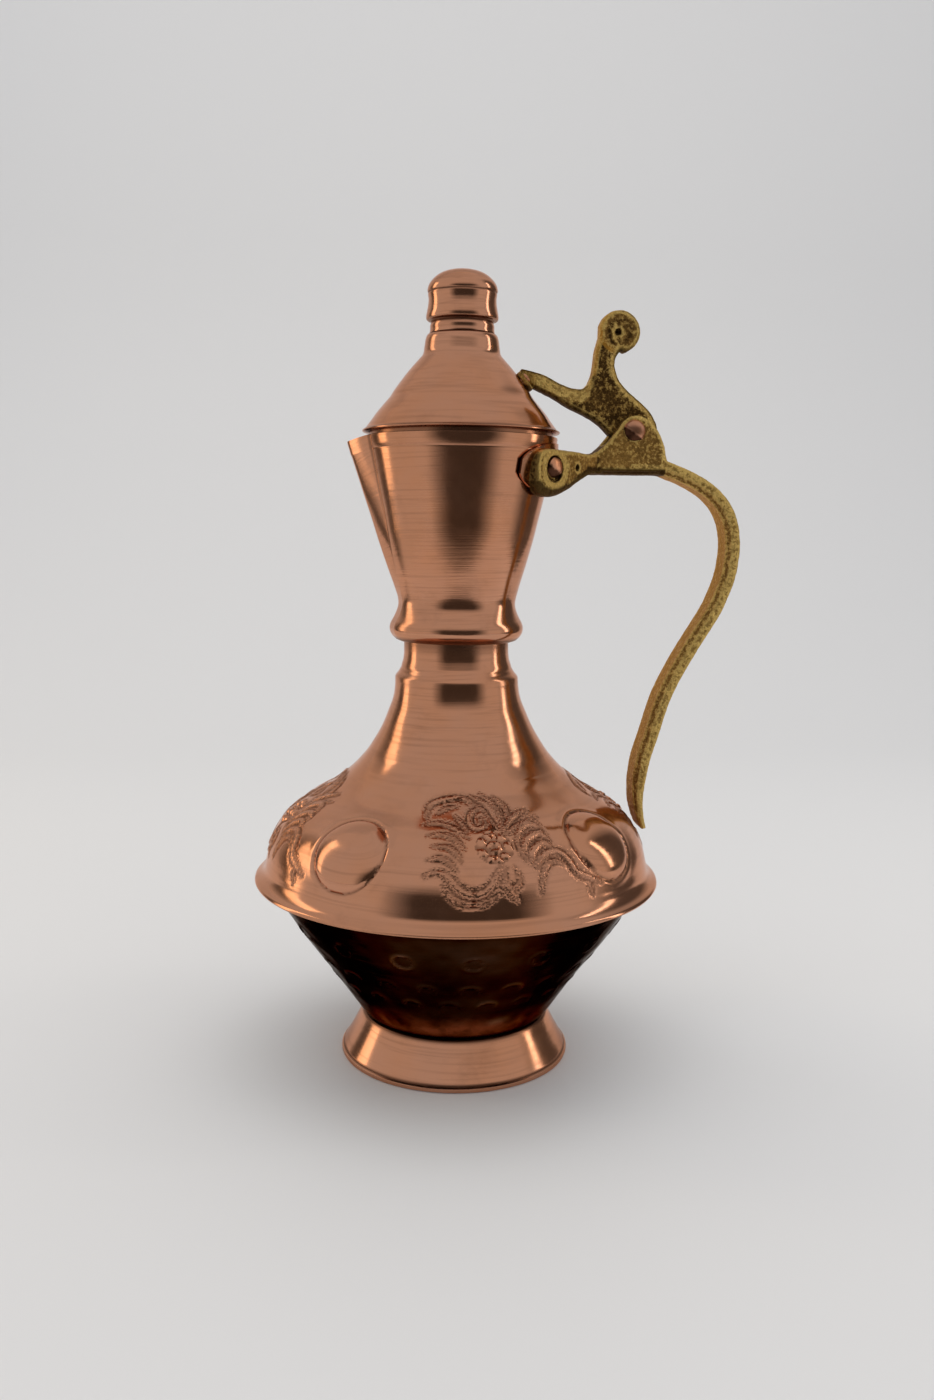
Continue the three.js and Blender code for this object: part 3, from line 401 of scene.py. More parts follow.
class Skin:
    """The points of a mesh as arrays, to be moved and written back."""

    def __init__(self, mesh):
        self.mesh = mesh
        self.count = len(mesh.vertices)
        self.points = self.read(mesh.vertices, "co")
        self.normals = self.read(mesh.vertex_normals, "vector")

    def read(self, source, field):
        flat = np.empty(self.count * 3, np.float32)
        source.foreach_get(field, flat)
        return flat.reshape(-1, 3).astype(float)

    @property
    def radius(self):
        return np.hypot(self.points[:, 0], self.points[:, 1])

    @property
    def angle(self):
        return np.degrees(np.arctan2(self.points[:, 1], self.points[:, 0]))

    @property
    def level(self):
        return self.points[:, 2]

    def lift(self, amount):
        self.points += self.normals * np.asarray(amount)[:, None]

    def mark(self, name, values):
        layer = self.mesh.attributes.new(name, "FLOAT", "POINT")
        layer.data.foreach_set("value", np.clip(values, 0, 1).astype(np.float32))

    def write(self):
        self.mesh.vertices.foreach_set("co", self.points.astype(np.float32).ravel())
        self.mesh.update()

    def neighbour_mean(self, values):
        pairs = np.empty(len(self.mesh.edges) * 2, np.int32)
        self.mesh.edges.foreach_get("vertices", pairs)
        a, b = pairs.reshape(-1, 2).T
        total = np.zeros((self.count,) + values.shape[1:])
        number = np.bincount(a, minlength=self.count) + np.bincount(b, minlength=self.count)
        np.add.at(total, a, values[b])
        np.add.at(total, b, values[a])
        number = np.maximum(number, 1)
        return total / (number[:, None] if values.ndim > 1 else number)

    def wear(self, rubbed_and_highlight, reach=8):
        """Marks rubbed edges and brown hollows from the skin's own bends, and adds the given rubbed share,
        partly painted highlight, to the edges.
        """
        bend = np.einsum("ij,ij->i", self.neighbour_mean(self.points) - self.points, self.normals)
        for _ in range(reach):
            bend = 0.4 * bend + 0.6 * self.neighbour_mean(bend)
        scale = np.percentile(np.abs(bend), 85) + 1e-9
        self.mark("edge", np.maximum(-bend / scale, rubbed_and_highlight))
        self.mark("hollow_and_shade", bend / scale)


def wrapped(angle):
    """The angle in degrees, brought between -180 and 180."""
    return (np.asarray(angle) + 180) % 360 - 180


def smooth_noise(points, cell, seed):
    """Soft random bumps between -1 and 1 about one cell wide."""
    rng = np.random.default_rng(seed)
    waves = rng.normal(size=(24, 3)) * (2.2 / cell)
    phases = rng.uniform(0, FULL_TURN, 24)
    return np.sin(points @ waves.T + phases).sum(1) / 7.0


def distance_to_line(points, line):
    """Distance of each point to a line of corners, and the share of the line's length up to there."""
    best = np.full(len(points), 1e9)
    share = np.zeros(len(points))
    lengths = np.linalg.norm(np.diff(line, axis=0), axis=1)
    run = np.concatenate([[0], np.cumsum(lengths)])
    for a, b, length, start in zip(line[:-1], line[1:], lengths, run):
        along = b - a
        t = np.clip((points - a) @ along / max(length * length, 1e-9), 0, 1)
        away = np.linalg.norm(points - a - t[:, None] * along, axis=1)
        closer = away < best
        best[closer] = away[closer]
        share[closer] = ((start + t * length) / run[-1])[closer]
    return best, share


def on_shoulder(angle, level):
    """The point of the shoulder's outside at an angle in degrees and a height."""
    radius = radius_at(SHOULDER_SIDE, level)
    turn = math.radians(angle)
    return np.array([radius * math.cos(turn), radius * math.sin(turn), level])


def sculpt_shoulder(skin, sizes):
    """Raises the roundels and leaf sprays, marks their grooves and punched ground, and paints shade on the
    neck's top under the cup's bead.
    """
    outside = skin.radius > np.interp(skin.level, *zip(*[(z, r) for r, z in SHOULDER_SIDE])) - 0.35
    ornament_low, ornament_high, collar = 64.5, 101, 136.5
    band = outside & (skin.level > ornament_low) & (skin.level < ornament_high)
    height = np.zeros(skin.count)
    recess_and_shade = np.zeros(skin.count)
    punched = np.zeros(skin.count)
    for angle, level in ROUNDELS:
        middle = on_shoulder(angle, level)
        away = np.linalg.norm(skin.points - middle, axis=1) / sizes.roundel_radius
        near = band & (away < 1.5)
        dome = np.clip(1 - away ** 4, 0, None) ** 0.7 * (0.72 + 0.28 * np.clip(1 - away ** 2, 0, None))
        groove = np.exp(-((away - 1.02) * sizes.roundel_radius / 0.45) ** 2)
        swell = 0.15 * np.exp(-((away - 1.12) * sizes.roundel_radius / 1.5) ** 2)
        height += near * (sizes.roundel_height * dome - 0.35 * groove + swell)
        recess_and_shade = np.maximum(recess_and_shade, 0.6 * near * groove)
    for centre in SPRAY_ANGLES:
        local = wrapped(skin.angle - centre)
        near = np.flatnonzero(band & (np.abs(local) < 34))
        points = skin.points[near]
        ridge = np.zeros(len(near))
        trench = np.zeros(len(near))
        ground = np.zeros(len(near))
        for raise_by, half_width, stroke in SPRAY:
            line = np.array([on_shoulder(centre + p.x, p.y) for p in flowing(stroke, 1.0)])
            reach = 4 * half_width
            inside = (points > line.min(0) - reach) & (points < line.max(0) + reach)
            beside = np.flatnonzero(np.all(inside, axis=1))
            away, share = distance_to_line(points[beside], line)
            taper = 0.35 + 0.65 * np.sin(np.pi * np.clip(share, 0.02, 0.98)) ** 0.6
            x = away / (half_width * taper)
            crown = np.clip(1 - x * x, 0, None) ** 0.8 - 0.35 * np.exp(-(x / 0.35) ** 2)
            ridge[beside] = np.maximum(ridge[beside], 0.8 * raise_by * taper * np.clip(crown, 0, None))
            trench[beside] = np.maximum(trench[beside], taper * np.exp(-((x - 1.25) / 0.30) ** 2))
            ground[beside] = np.maximum(ground[beside], np.exp(-(x / 2.2) ** 4))
        trench *= ridge < 0.08
        bloom, heart = rosette(points, centre)
        ridge = np.maximum(ridge * (heart < 0.5), bloom)
        trench = np.maximum(trench * (heart < 0.5), 0.9 * heart * np.clip(1 - bloom / 0.25, 0, 1))
        from_strap = np.hypot(wrapped(skin.angle[near]) / 8, (points[:, 2] - 77.5) / 4.5)
        held = np.clip(from_strap - 0.8, 0, 0.4) / 0.4
        height[near] += sizes.spray_relief * held * (ridge - 0.24 * trench)
        recess_and_shade[near] = np.maximum(recess_and_shade[near], 0.6 * trench)
        punched[near] = np.maximum(punched[near], ground * (0.35 + 0.65 * (ridge < 0.3)))
    soft = 0.05 * smooth_noise(skin.points, 16, 3)
    skin.lift(height + soft * outside * (skin.level > 68) * (skin.level < 125))
    # Painted shade on the neck's top under the cup's bead, kept with the groove tarnish.
    shadow = 0.55 * np.clip((skin.level - collar) / 4, 0, 1)
    skin.mark("recess_and_shade", np.maximum(recess_and_shade, shadow))
    lean(skin)
    skin.mark("punched", punched)


def rosette(points, centre):
    """A ring of nine petals about a coiled heart, and the ground that it stands on."""
    middle = on_shoulder(centre + ROSETTE[0], ROSETTE[1])
    shoulder_radius = 52
    away = np.linalg.norm(points - middle, axis=1)
    angle = np.degrees(np.arctan2(points[:, 1], points[:, 0]))
    across = wrapped(angle - centre - ROSETTE[0]) * math.radians(1) * shoulder_radius
    turn = np.arctan2(points[:, 2] - middle[2], across)
    petals = np.clip(1 - ((away - ROSETTE_RADIUS) / 1.35) ** 2, 0, None) * (0.5 + 0.5 * np.cos(turn * 9))
    coil = np.clip(1 - ((away - 1.6) / 0.75) ** 2, 0, None) * (turn > -2.4)
    return 0.75 * petals + 0.6 * coil, 1.0 * (away < ROSETTE_RADIUS + 1.5)


def sculpt_bowl(skin, sizes):
    """Hammer marks all over, two rows of chased scales and a row of rings, with rubbed wear and painted
    highlights on them and a painted warm reflection near the bottom.
    """
    outside = skin.radius > np.interp(skin.level, *zip(*[(z, r) for r, z in BOWL_SIDE])) - 0.35
    side = outside & (skin.level > 17) & (skin.level < 60)
    rng = np.random.default_rng(11)
    height = np.zeros(skin.count)
    angle, level = skin.angle, skin.level
    for _ in range(620):
        at_angle, at_level = rng.uniform(-180, 180), rng.uniform(18, 59)
        radius = radius_at(BOWL_SIDE, at_level)
        across = wrapped(angle - at_angle) * math.radians(1) * radius
        up = (level - at_level) * 1.35
        size = rng.uniform(2.6, 4.6)
        away = (across ** 2 + up ** 2) / size ** 2
        height -= sizes.hammer_depth * np.exp(-away * 1.6) * rng.uniform(0.4, 1.0)
    recess_and_shade, rubbed_and_highlight = np.zeros(skin.count), np.zeros(skin.count)
    for row, (row_level, number, size) in enumerate(((29.5, 22, 3.1), (36.5, 22, 3.4), (48.5, 16, 3.6))):
        radius = radius_at(BOWL_SIDE, row_level)
        for i in range(number):
            across = wrapped(angle - (i + 0.5 * (row % 2)) * 360 / number) * math.radians(1) * radius
            up = (level - row_level) * 1.35
            away = np.hypot(across, up)
            arch = np.exp(-((away - size) / 0.5) ** 2)
            if row < 2:
                arch *= np.clip(up / size + 0.35, 0, 1)
            else:
                arch *= np.clip(1.2 - np.clip(across / size, -1, 1), 0, 1)
            rubbed_and_highlight = np.maximum(rubbed_and_highlight, arch * rng.uniform(0.0, 0.8) ** 2)
            height += 0.28 * arch - 0.12 * np.exp(-((away - size + 1.0) / 0.5) ** 2) * (arch > 0.02)
            recess_and_shade = np.maximum(recess_and_shade, 0.8 * np.exp(-((away - size + 1.0) / 0.5) ** 2) * (arch > 0.02))
    skin.lift(height * side)
    skin.mark("recess_and_shade", recess_and_shade * side)
    # Rubbed wear and painted highlights on the scales and rings, and a painted warm reflection near the bowl's
    # bottom.
    skin.mark("edge", rubbed_and_highlight * side + 0.8 * np.exp(-((level - 19.5) / 4) ** 2) * (level > 15.5))


def sculpt_cup(skin, sizes):
    """Draws the pouring lip out of the rim."""
    half = sizes.lip_half_angle
    start, rim, line, waist = 155.7, 207.1, 202.6, 141.6
    share = np.clip((skin.level - start) / (rim - start), 0, 1)
    radius = skin.radius
    turn = np.radians(wrapped(skin.angle - 180))
    soft = math.radians(1.3)
    from_nose = np.sqrt(turn ** 2 + soft ** 2) - soft * np.clip(np.abs(turn) / half, 0, 1)
    inside = np.abs(turn) < half
    from_nose = np.clip(from_nose, 0, half)
    tip = radius + sizes.lip_reach * share
    across = tip * np.sin(from_nose) + radius * np.sin(half - from_nose)
    reach = np.where(inside, radius * tip * math.sin(half) / np.maximum(across, 1e-6), radius)
    swell = 0.35 * share * np.sin(np.pi * np.clip(from_nose / half, 0, 1)) * inside
    band = np.exp(-((skin.level - line) / 0.22) ** 2) * ~inside
    reach = reach + swell - 0.16 * band * (radius > 30.2)
    direction = skin.points[:, :2] / np.maximum(radius, 1e-6)[:, None]
    skin.points[:, :2] = direction * reach[:, None]
    skin.points[:, 2] -= sizes.lip_dip * share * np.clip(1 - from_nose / half, 0, 1) ** 1.2
    fold = np.exp(-((np.abs(turn) - half) / math.radians(1.1)) ** 2) * share
    seam = np.exp(-((skin.level - waist) / 1.0) ** 2)
    skin.mark("recess_and_shade", np.maximum.reduce([0.7 * fold, 0.8 * band, seam]))
    lean(skin)


def lean(skin):
    """The neck and the cup's foot stand a little off the axis, as on a ewer raised by hand."""
    most, level, spread = 0.9, 146, 27
    skin.points[:, 0] -= most * np.exp(-((skin.points[:, 2] - level) / spread) ** 2)


def sculpt_plain(skin, sizes, grooves=()):
    """Soft unevenness of hand-worked sheet, with tarnish in the grooves and painted shade at these levels."""
    skin.lift(0.03 * smooth_noise(skin.points, 12, 5) * (skin.level > 1.0))
    marks = [np.exp(-((skin.level - level) / width) ** 2) for level, width in grooves]
    skin.mark("recess_and_shade", np.maximum.reduce(marks) if marks else np.zeros(skin.count))


def sculpt_casting(skin, sizes, rubbed_and_highlight=0.0):
    """Sand grain of a casting, and its wear, with the share besides the edges that is rubbed, partly painted
    highlight.
    """
    skin.wear(rubbed_and_highlight)
    grain = 0.6 * smooth_noise(skin.points, 1.0, 7) + 0.5 * smooth_noise(skin.points, 2.4, 8)
    skin.lift(sizes.grain_depth * grain)


# Shader maths


class Signal:
    """A shader socket that takes part in sums, so that maths reads as maths."""

    def __init__(self, net, socket):
        self.net = net
        self.socket = socket

    def sum_with(self, operation, other, flipped=False):
        first, second = (other, self) if flipped else (self, other)
        return self.net.add("ShaderNodeMath", {"operation": operation}, {0: first, 1: second})

    def __add__(self, other):
        return self.sum_with("ADD", other)

    def __radd__(self, other):
        return self.sum_with("ADD", other, True)

    def __sub__(self, other):
        return self.sum_with("SUBTRACT", other)

    def __rsub__(self, other):
        return self.sum_with("SUBTRACT", other, True)

    def __mul__(self, other):
        return self.sum_with("MULTIPLY", other)

    def __rmul__(self, other):
        return self.sum_with("MULTIPLY", other, True)

    def __truediv__(self, other):
        return self.sum_with("DIVIDE", other)

    def __rtruediv__(self, other):
        return self.sum_with("DIVIDE", other, True)

    def __pow__(self, other):
        return self.sum_with("POWER", other)


class Net:
    """The node tree of one material, from the paint functions' point of view."""

    def __init__(self, tree):
        self.tree = tree

    def add(self, kind, settings, inputs, output=0):
        """Adds a node, sets it up, fills its sockets and returns one of its outputs."""
        node = self.tree.nodes.new(kind)
        for key, value in settings.items():
            setattr(node, key, value)
        for key, value in inputs.items():
            if isinstance(value, Signal):
                self.tree.links.new(value.socket, node.inputs[key])
            else:
                node.inputs[key].default_value = value
        return Signal(self, node.outputs[output])

    def mask(self, name):
        return self.add("ShaderNodeAttribute", {"attribute_name": name}, {}, "Fac")

    def noise(self, where, scale, detail=3.0, roughness=0.55):
        return self.add(
            "ShaderNodeTexNoise", {},
            {"Vector": where, "Scale": scale, "Detail": detail, "Roughness": roughness})

    def between(self, signal, low, high):
        """The signal spread so that low becomes 0 and high becomes 1, and held there."""
        return self.add(
            "ShaderNodeMapRange", {"clamp": True},
            {"Value": signal, "From Min": low, "From Max": high, "To Min": 0.0, "To Max": 1.0})

    def tint(self, amount, first, second):
        """The first colour turning into the second."""
        def whole(shade):
            return shade if isinstance(shade, Signal) else (*shade, 1.0)
        return self.add(
            "ShaderNodeMix", {"data_type": "RGBA", "clamp_factor": True},
            {0: amount, 6: whole(first), 7: whole(second)}, 2)

    def vessel_place(self):
        """Object coordinates about the vessel's own axis."""
        where = self.add("ShaderNodeTexCoord", {}, {}, "Object")
        return self.add("ShaderNodeMapping", {}, {"Vector": where, "Location": (-AXIS_X, 0, 0)})


def finished(name, paint, graze):
    """A metal whose paint function gives its colour, roughness, relief and the relief's depth in metres.

    `graze` is how strongly it mirrors at a low angle.
    """
    material = bpy.data.materials.new(name)
    material.use_nodes = True
    tree = material.node_tree
    net = Net(tree)
    shader = tree.nodes["Principled BSDF"]
    shader.inputs["Metallic"].default_value = 1.0
    shader.inputs["Specular Tint"].default_value = (graze, graze * 0.8, graze * 0.7, 1)
    colour, roughness, relief, depth = paint(net)
    tree.links.new(colour.socket, shader.inputs["Base Color"])
    tree.links.new(roughness.socket, shader.inputs["Roughness"])
    normal = net.add("ShaderNodeBump", {}, {"Strength": 1.0, "Distance": depth, "Height": relief})
    tree.links.new(normal.socket, shader.inputs["Normal"])
    return material


def turning_lines(net, where):
    """Fine rings left by the lathe and the polishing wheel."""
    x, y, z = (net.add("ShaderNodeSeparateXYZ", {}, {0: where}, axis) for axis in "XYZ")
    radius = (x * x + y * y) ** 0.5
    run = z + radius * 0.7
    ring = net.add("ShaderNodeCombineXYZ", {}, {0: x / radius * 0.9, 1: y / radius * 0.9, 2: run * 1800.0})
    return net.noise(ring, 1.0, 2.0, 0.6)


def paint_copper(net, colours, base, base_warm, shine):
    where = net.vessel_place()
    lines = turning_lines(net, where)
    clouds = net.noise(where, 28.0, 4.0, 0.6)
    smears = net.noise(where, 90.0, 5.0, 0.65)
    grooves = net.mask("recess_and_shade")
    punched = net.mask("punched")
    dots = net.add("ShaderNodeTexVoronoi", {"feature": "F1"}, {"Vector": where, "Scale": 1050.0}, "Distance")
    colour = net.tint(net.between(clouds, 0.40, 0.72) * 0.7, base, base_warm)
    colour = net.tint(net.between(smears, 0.55, 0.85) * 0.22, colour, colours.tarnish_and_shade)
    colour = net.tint(net.between(lines, 0.50, 0.72) * 0.20, colour, colours.tarnish_and_shade)
    # Painted warm reflection and highlights on the bowl, with its rubbed wear, from the edge mark.
    colour = net.tint(net.mask("edge") * net.between(smears, 0.3, 0.6), colour, colours.warm_copper)
    # Groove tarnish and painted shade both darken to tarnish here.
    dark = net.between(grooves, 0.08, 0.8) * 0.85 + punched * net.between(dots, 0.25, 0.6) * 0.4
    colour = net.tint(dark, colour, colours.tarnish_and_shade)
    roughness = shine + lines * 0.10 + net.between(smears, 0.45, 0.8) * 0.10 + grooves * 0.18 + punched * 0.12
    relief = lines * 0.16 + smears * 0.12 - punched * net.between(dots, 0.2, 0.6) * 1.6
    return colour, roughness, relief, 0.00010


def paint_brass(net, colours):
    where = net.vessel_place()
    grain = net.noise(where, 1300.0, 4.0, 0.6)
    pits = net.add("ShaderNodeTexVoronoi", {"feature": "F1"}, {"Vector": where, "Scale": 900.0}, "Distance")
    clouds = net.noise(where, 60.0, 4.0, 0.6)
    blotches = net.between(net.noise(where, 800.0, 3.0, 0.7), 0.44, 0.64)
    shade = net.mask("shade")
    # Rubbed wear and painted highlights from the edge mark turn to worn brass.
    worn_and_highlit = net.between(net.mask("edge") * 0.8 + blotches * 0.75 + grain * 0.6 + clouds * 0.3, 0.78, 1.45)
    worn_and_highlit = worn_and_highlit * (1 - shade * 0.8) * (1 - net.mask("warm_reflection") * 0.35)
    # Brown from hollows and from painted shade.
    hollow_and_shade = net.between(net.mask("hollow_and_shade") * 0.7 + shade * 1.15 + clouds * 0.8 - blotches * 0.6, -0.12, 0.88)
    hollow_and_shade = hollow_and_shade * (1 - net.mask("warm_reflection") * (1 - shade) * 0.65)
    # Painted warm reflection: faces marked warm take the warm brass colour.
    colour = net.tint(net.mask("warm_reflection"), colours.brass, colours.warm_reflection_brass)
    colour = net.tint(hollow_and_shade, colour, colours.brown_brass)
    colour = net.tint(worn_and_highlit, colour, colours.worn_and_highlit_brass)
    # Painted shade: faces marked shade turn further to brown brass.
    colour = net.tint(net.between(shade, 0.7, 1.0) * 0.6, colour, colours.brown_brass)
    roughness = 0.46 - worn_and_highlit * 0.12 + hollow_and_shade * 0.14
    relief = grain + blotches * 0.6 + net.between(pits, 0.0, 0.45) * 0.5
    return colour, roughness, relief, 0.00035


def paint_rivet(net, colours):
    where = net.vessel_place()
    grain = net.noise(where, 500.0, 4.0, 0.6)
    clouds = net.noise(where, 220.0, 3.0, 0.6)
    colour = net.tint(net.between(clouds, 0.42, 0.7), colours.copper, colours.warm_copper)
    # The hollow mark means brown hollows on castings and painted shade on the rivets' lower left, turned to
    # tarnish here.
    colour = net.tint(net.between(net.mask("hollow_and_shade") + grain * 0.4, 0.45, 1.1), colour, colours.tarnish_and_shade)
    return colour, 0.24 + grain * 0.16, grain, 0.00012


def material_named(name):
    """The ewer's materials, each made once."""
    made = bpy.data.materials.get(name)
    if made:
        return made
    colours = bpy.context.scene.ewer_finishes
    # The bowl's dark colour is mostly painted dark reflection.
    copper, brown = (colours.copper, colours.warm_copper, 0.09), (colours.brown_copper, colours.tarnish_and_shade, 0.13)
    paint, graze = {
        "polished_copper": (lambda net: paint_copper(net, colours, *copper), 1.0),
        "bowl_copper": (lambda net: paint_copper(net, colours, *brown), 0.25),
        "sand_cast_brass": (lambda net: paint_brass(net, colours), 1.0),
        "peened_copper": (lambda net: paint_rivet(net, colours), 1.0),
    }[name]
    return finished(name, paint, graze)


def add_piece(name, mesh, body, nodes, material, sculpt=None, sharp=40):
    """Makes a finished piece from a bmesh in millimetres about the vessel's axis."""
    data = bpy.data.meshes.new(name)
    mesh.to_mesh(data)
    mesh.free()
    data.shade_smooth()
    if sculpt:
        skin = Skin(data)
        sculpt(skin, bpy.context.scene.ewer_sizes)
        skin.write()
    data.transform(TO_FRAME)
    data.set_sharp_from_angle(angle=math.radians(sharp))
    data.materials.append(material_named(material))
    piece = bpy.data.objects.new(name, data)
    bpy.context.scene.collection.objects.link(piece)
    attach(piece, body)
    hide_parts(*nodes)
    return piece


# Operators


class EWER_OT_foot(bpy.types.Operator):
    """Turn the flared foot"""
    bl_idname = "ewer.foot"
    bl_label = "Foot"

    def execute(self, context):
        rim = context.scene.ewer_sizes.foot_radius
        outer = [(rim - 0.7, 0.0), (rim - 0.15, 0.3), (rim, 0.9), (rim - 0.15, 1.5), (rim - 0.75, 1.9)]
        outer += flowing(FOOT_SIDE, 0.8)
        outer += [(31.2, 14.55), (30.4, 14.6), (24.5, 14.6)]
        inner = [
            (24.5, 13.9), (30.6, 13.85), (32.1, 11.4), (33.9, 8.1), (35.8, 4.7), (36.4, 2.4), (36.0, 1.4),
            (36.0, 0),
        ]
        add_piece(
            "foot", spun(outer + inner, 240), "vessel", ["foot"], "polished_copper",
            lambda skin, sizes: sculpt_plain(skin, sizes, ((2.05, 0.3), (14.2, 0.6))))
        return {"FINISHED"}


class EWER_OT_bowl(bpy.types.Operator):
    """Raise and hammer the lower bowl"""
    bl_idname = "ewer.bowl"
    bl_label = "Lower bowl"

    def execute(self, context):
        outer = [(0, 14.9), (12, 14.9), (22, 14.9), (29.4, 14.9), (30.9, 15.1)] + flowing(BOWL_SIDE, 0.75)
        outer += [(64.2, 61.55), (66.5, 61.6)]
        inner = [
            (66.5, 62.0), (64.2, 62.1), (62.7, 61.0), (60.4, 58.2), (56.4, 52.2), (51.2, 44.6), (43.7, 34.4),
            (36.6, 24.2), (32.4, 18.0), (30.2, 15.8), (20, 15.6), (0, 15.6),
        ]
        add_piece(
            "lower_bowl", spun(outer + inner, 420, closed=False), "vessel", ["lower_bowl"],
            "bowl_copper", sculpt_bowl)
        return {"FINISHED"}


class EWER_OT_shoulder(bpy.types.Operator):
    """Raise the shoulder and neck, with the seam and the chased ornament"""
    bl_idname = "ewer.shoulder"
    bl_label = "Shoulder and neck"

    def execute(self, context):
        rim = context.scene.ewer_sizes.seam_radius
        outer = [
            (rim - 3.2, 60.9), (rim - 0.9, 60.9), (rim - 0.35, 61.1), (rim - 0.08, 61.6), (rim - 0.2, 62.1),
            (rim - 0.6, 62.45), (rim - 1.3, 62.85), (rim - 2.1, 63.5), (rim - 2.8, 64.3), (rim - 3.25, 65.1),
        ]
        lower = [p for p in SHOULDER_SIDE if p[1] <= 100.5]
        upper = [p for p in SHOULDER_SIDE if p[1] >= 99.5]
        outer += flowing(lower, 0.56)[:-1] + flowing(upper, 1.6)
        outer += [
            (20.5, 127.6), (20.45, 129.0), (20.2, 129.6), (19.5, 130.4), (18.9, 131.3), (18.6, 131.9),
            (18.35, 132.2), (18.2, 133.1), (17.6, 134.9), (17.35, 137.0), (17.3, 140.0), (17.3, 144.0),
            (20.0, 144.05),
        ]
        inner = [
            (20.0, 144.75), (16.6, 144.8), (16.6, 136.8), (17.5, 132.8), (19.8, 128.8), (20.2, 123.6),
            (22.1, 118), (26.3, 109), (32.9, 99.5), (42.8, 91.2), (52.6, 85.2), (58.8, 79.4), (62.0, 73),
            (63.4, 67.0), (64.0, 64.8), (65.0, 63.4), (rim - 1.4, 62.3), (rim - 0.8, 61.9), (rim - 1.0, 61.45),
            (rim - 3.2, 61.4),
        ]
        add_piece(
            "shoulder", spun(outer + inner, 640), "vessel", ["shoulder"], "polished_copper",
            sculpt_shoulder)
        return {"FINISHED"}


class EWER_OT_cup(bpy.types.Operator):
    """Raise the upper cup and draw its pouring lip"""
    bl_idname = "ewer.cup"
    bl_label = "Upper cup"

    def execute(self, context):
        outer = [(17.65, 141.2), (18.9, 141.15)]
        bead = [(19.9, 141.5), (21.2, 142.7), (22.0, 144.2), (22.15, 145.6), (21.8, 147.0), (20.9, 148.7)]
        waist = [(20.3, 149.9), (19.7, 151.5), (19.35, 153.2), (19.6, 155.4)]
        outer += flowing(bead, 0.5) + flowing(waist + CUP_SIDE[2:], 1.0)
        outer += [(30.62, 202.35), (30.66, 202.6), (30.70, 202.85), (31.0, 204.6), (31.35, 206.5)]
        inner = [
            (31.3, 206.95), (30.95, 207.1), (30.65, 206.8), (29.9, 202.6), (28.5, 196.4), (27.0, 189.3),
            (25.4, 182.2), (23.9, 175.2), (22.5, 169.4), (21.1, 164.0), (19.9, 159.6), (18.9, 155.4),
            (18.7, 153.0), (19.3, 150.5), (20.6, 148.2), (21.3, 146.0), (21.0, 143.9), (19.6, 142.1),
            (17.65, 141.9),
        ]
        add_piece(
            "cup", spun(outer + inner, 360, start=math.pi), "vessel", ["cup"], "polished_copper",
            sculpt_cup)
        return {"FINISHED"}


class EWER_OT_saddle_plate(bpy.types.Operator):
    """Cut and curl the copper plate between cup and handle"""
    bl_idname = "ewer.saddle_plate"
    bl_label = "Saddle plate"

    def execute(self, context):
        half_turn, half_height, level, top = math.radians(58.5), 8.2, 197.0, 205.2
        steps = [level + half_height * (i / 12 - 1) for i in range(25)]
        side = [(radius_at(CUP_SIDE, z), z) for z in steps]
        loop = [(r + 0.35, z) for r, z in side] + [(r + 1.1, z) for r, z in reversed(side)]
        mesh = spun(loop, 96, turn=2 * half_turn, start=-half_turn)
        for vert in mesh.verts:
            share = math.atan2(vert.co.y, vert.co.x) / half_turn
            radius = vert.co.xy.length
            height = level + (vert.co.z - level) * math.sqrt(max(0.0, 1 - 0.93 * abs(share) ** 3.4))
            height = min(height, top)
            curl = 0.3 * max(0.0, (abs(share) - 0.8) / 0.2) ** 2
            radius += radius_at(CUP_SIDE, height) - radius_at(CUP_SIDE, vert.co.z) + curl
            vert.co.xy = vert.co.xy.normalized() * radius
            vert.co.z = height
        add_piece(
            "saddle_plate", mesh, "vessel", ["saddle_plate"], "polished_copper", sculpt_plain)
        return {"FINISHED"}


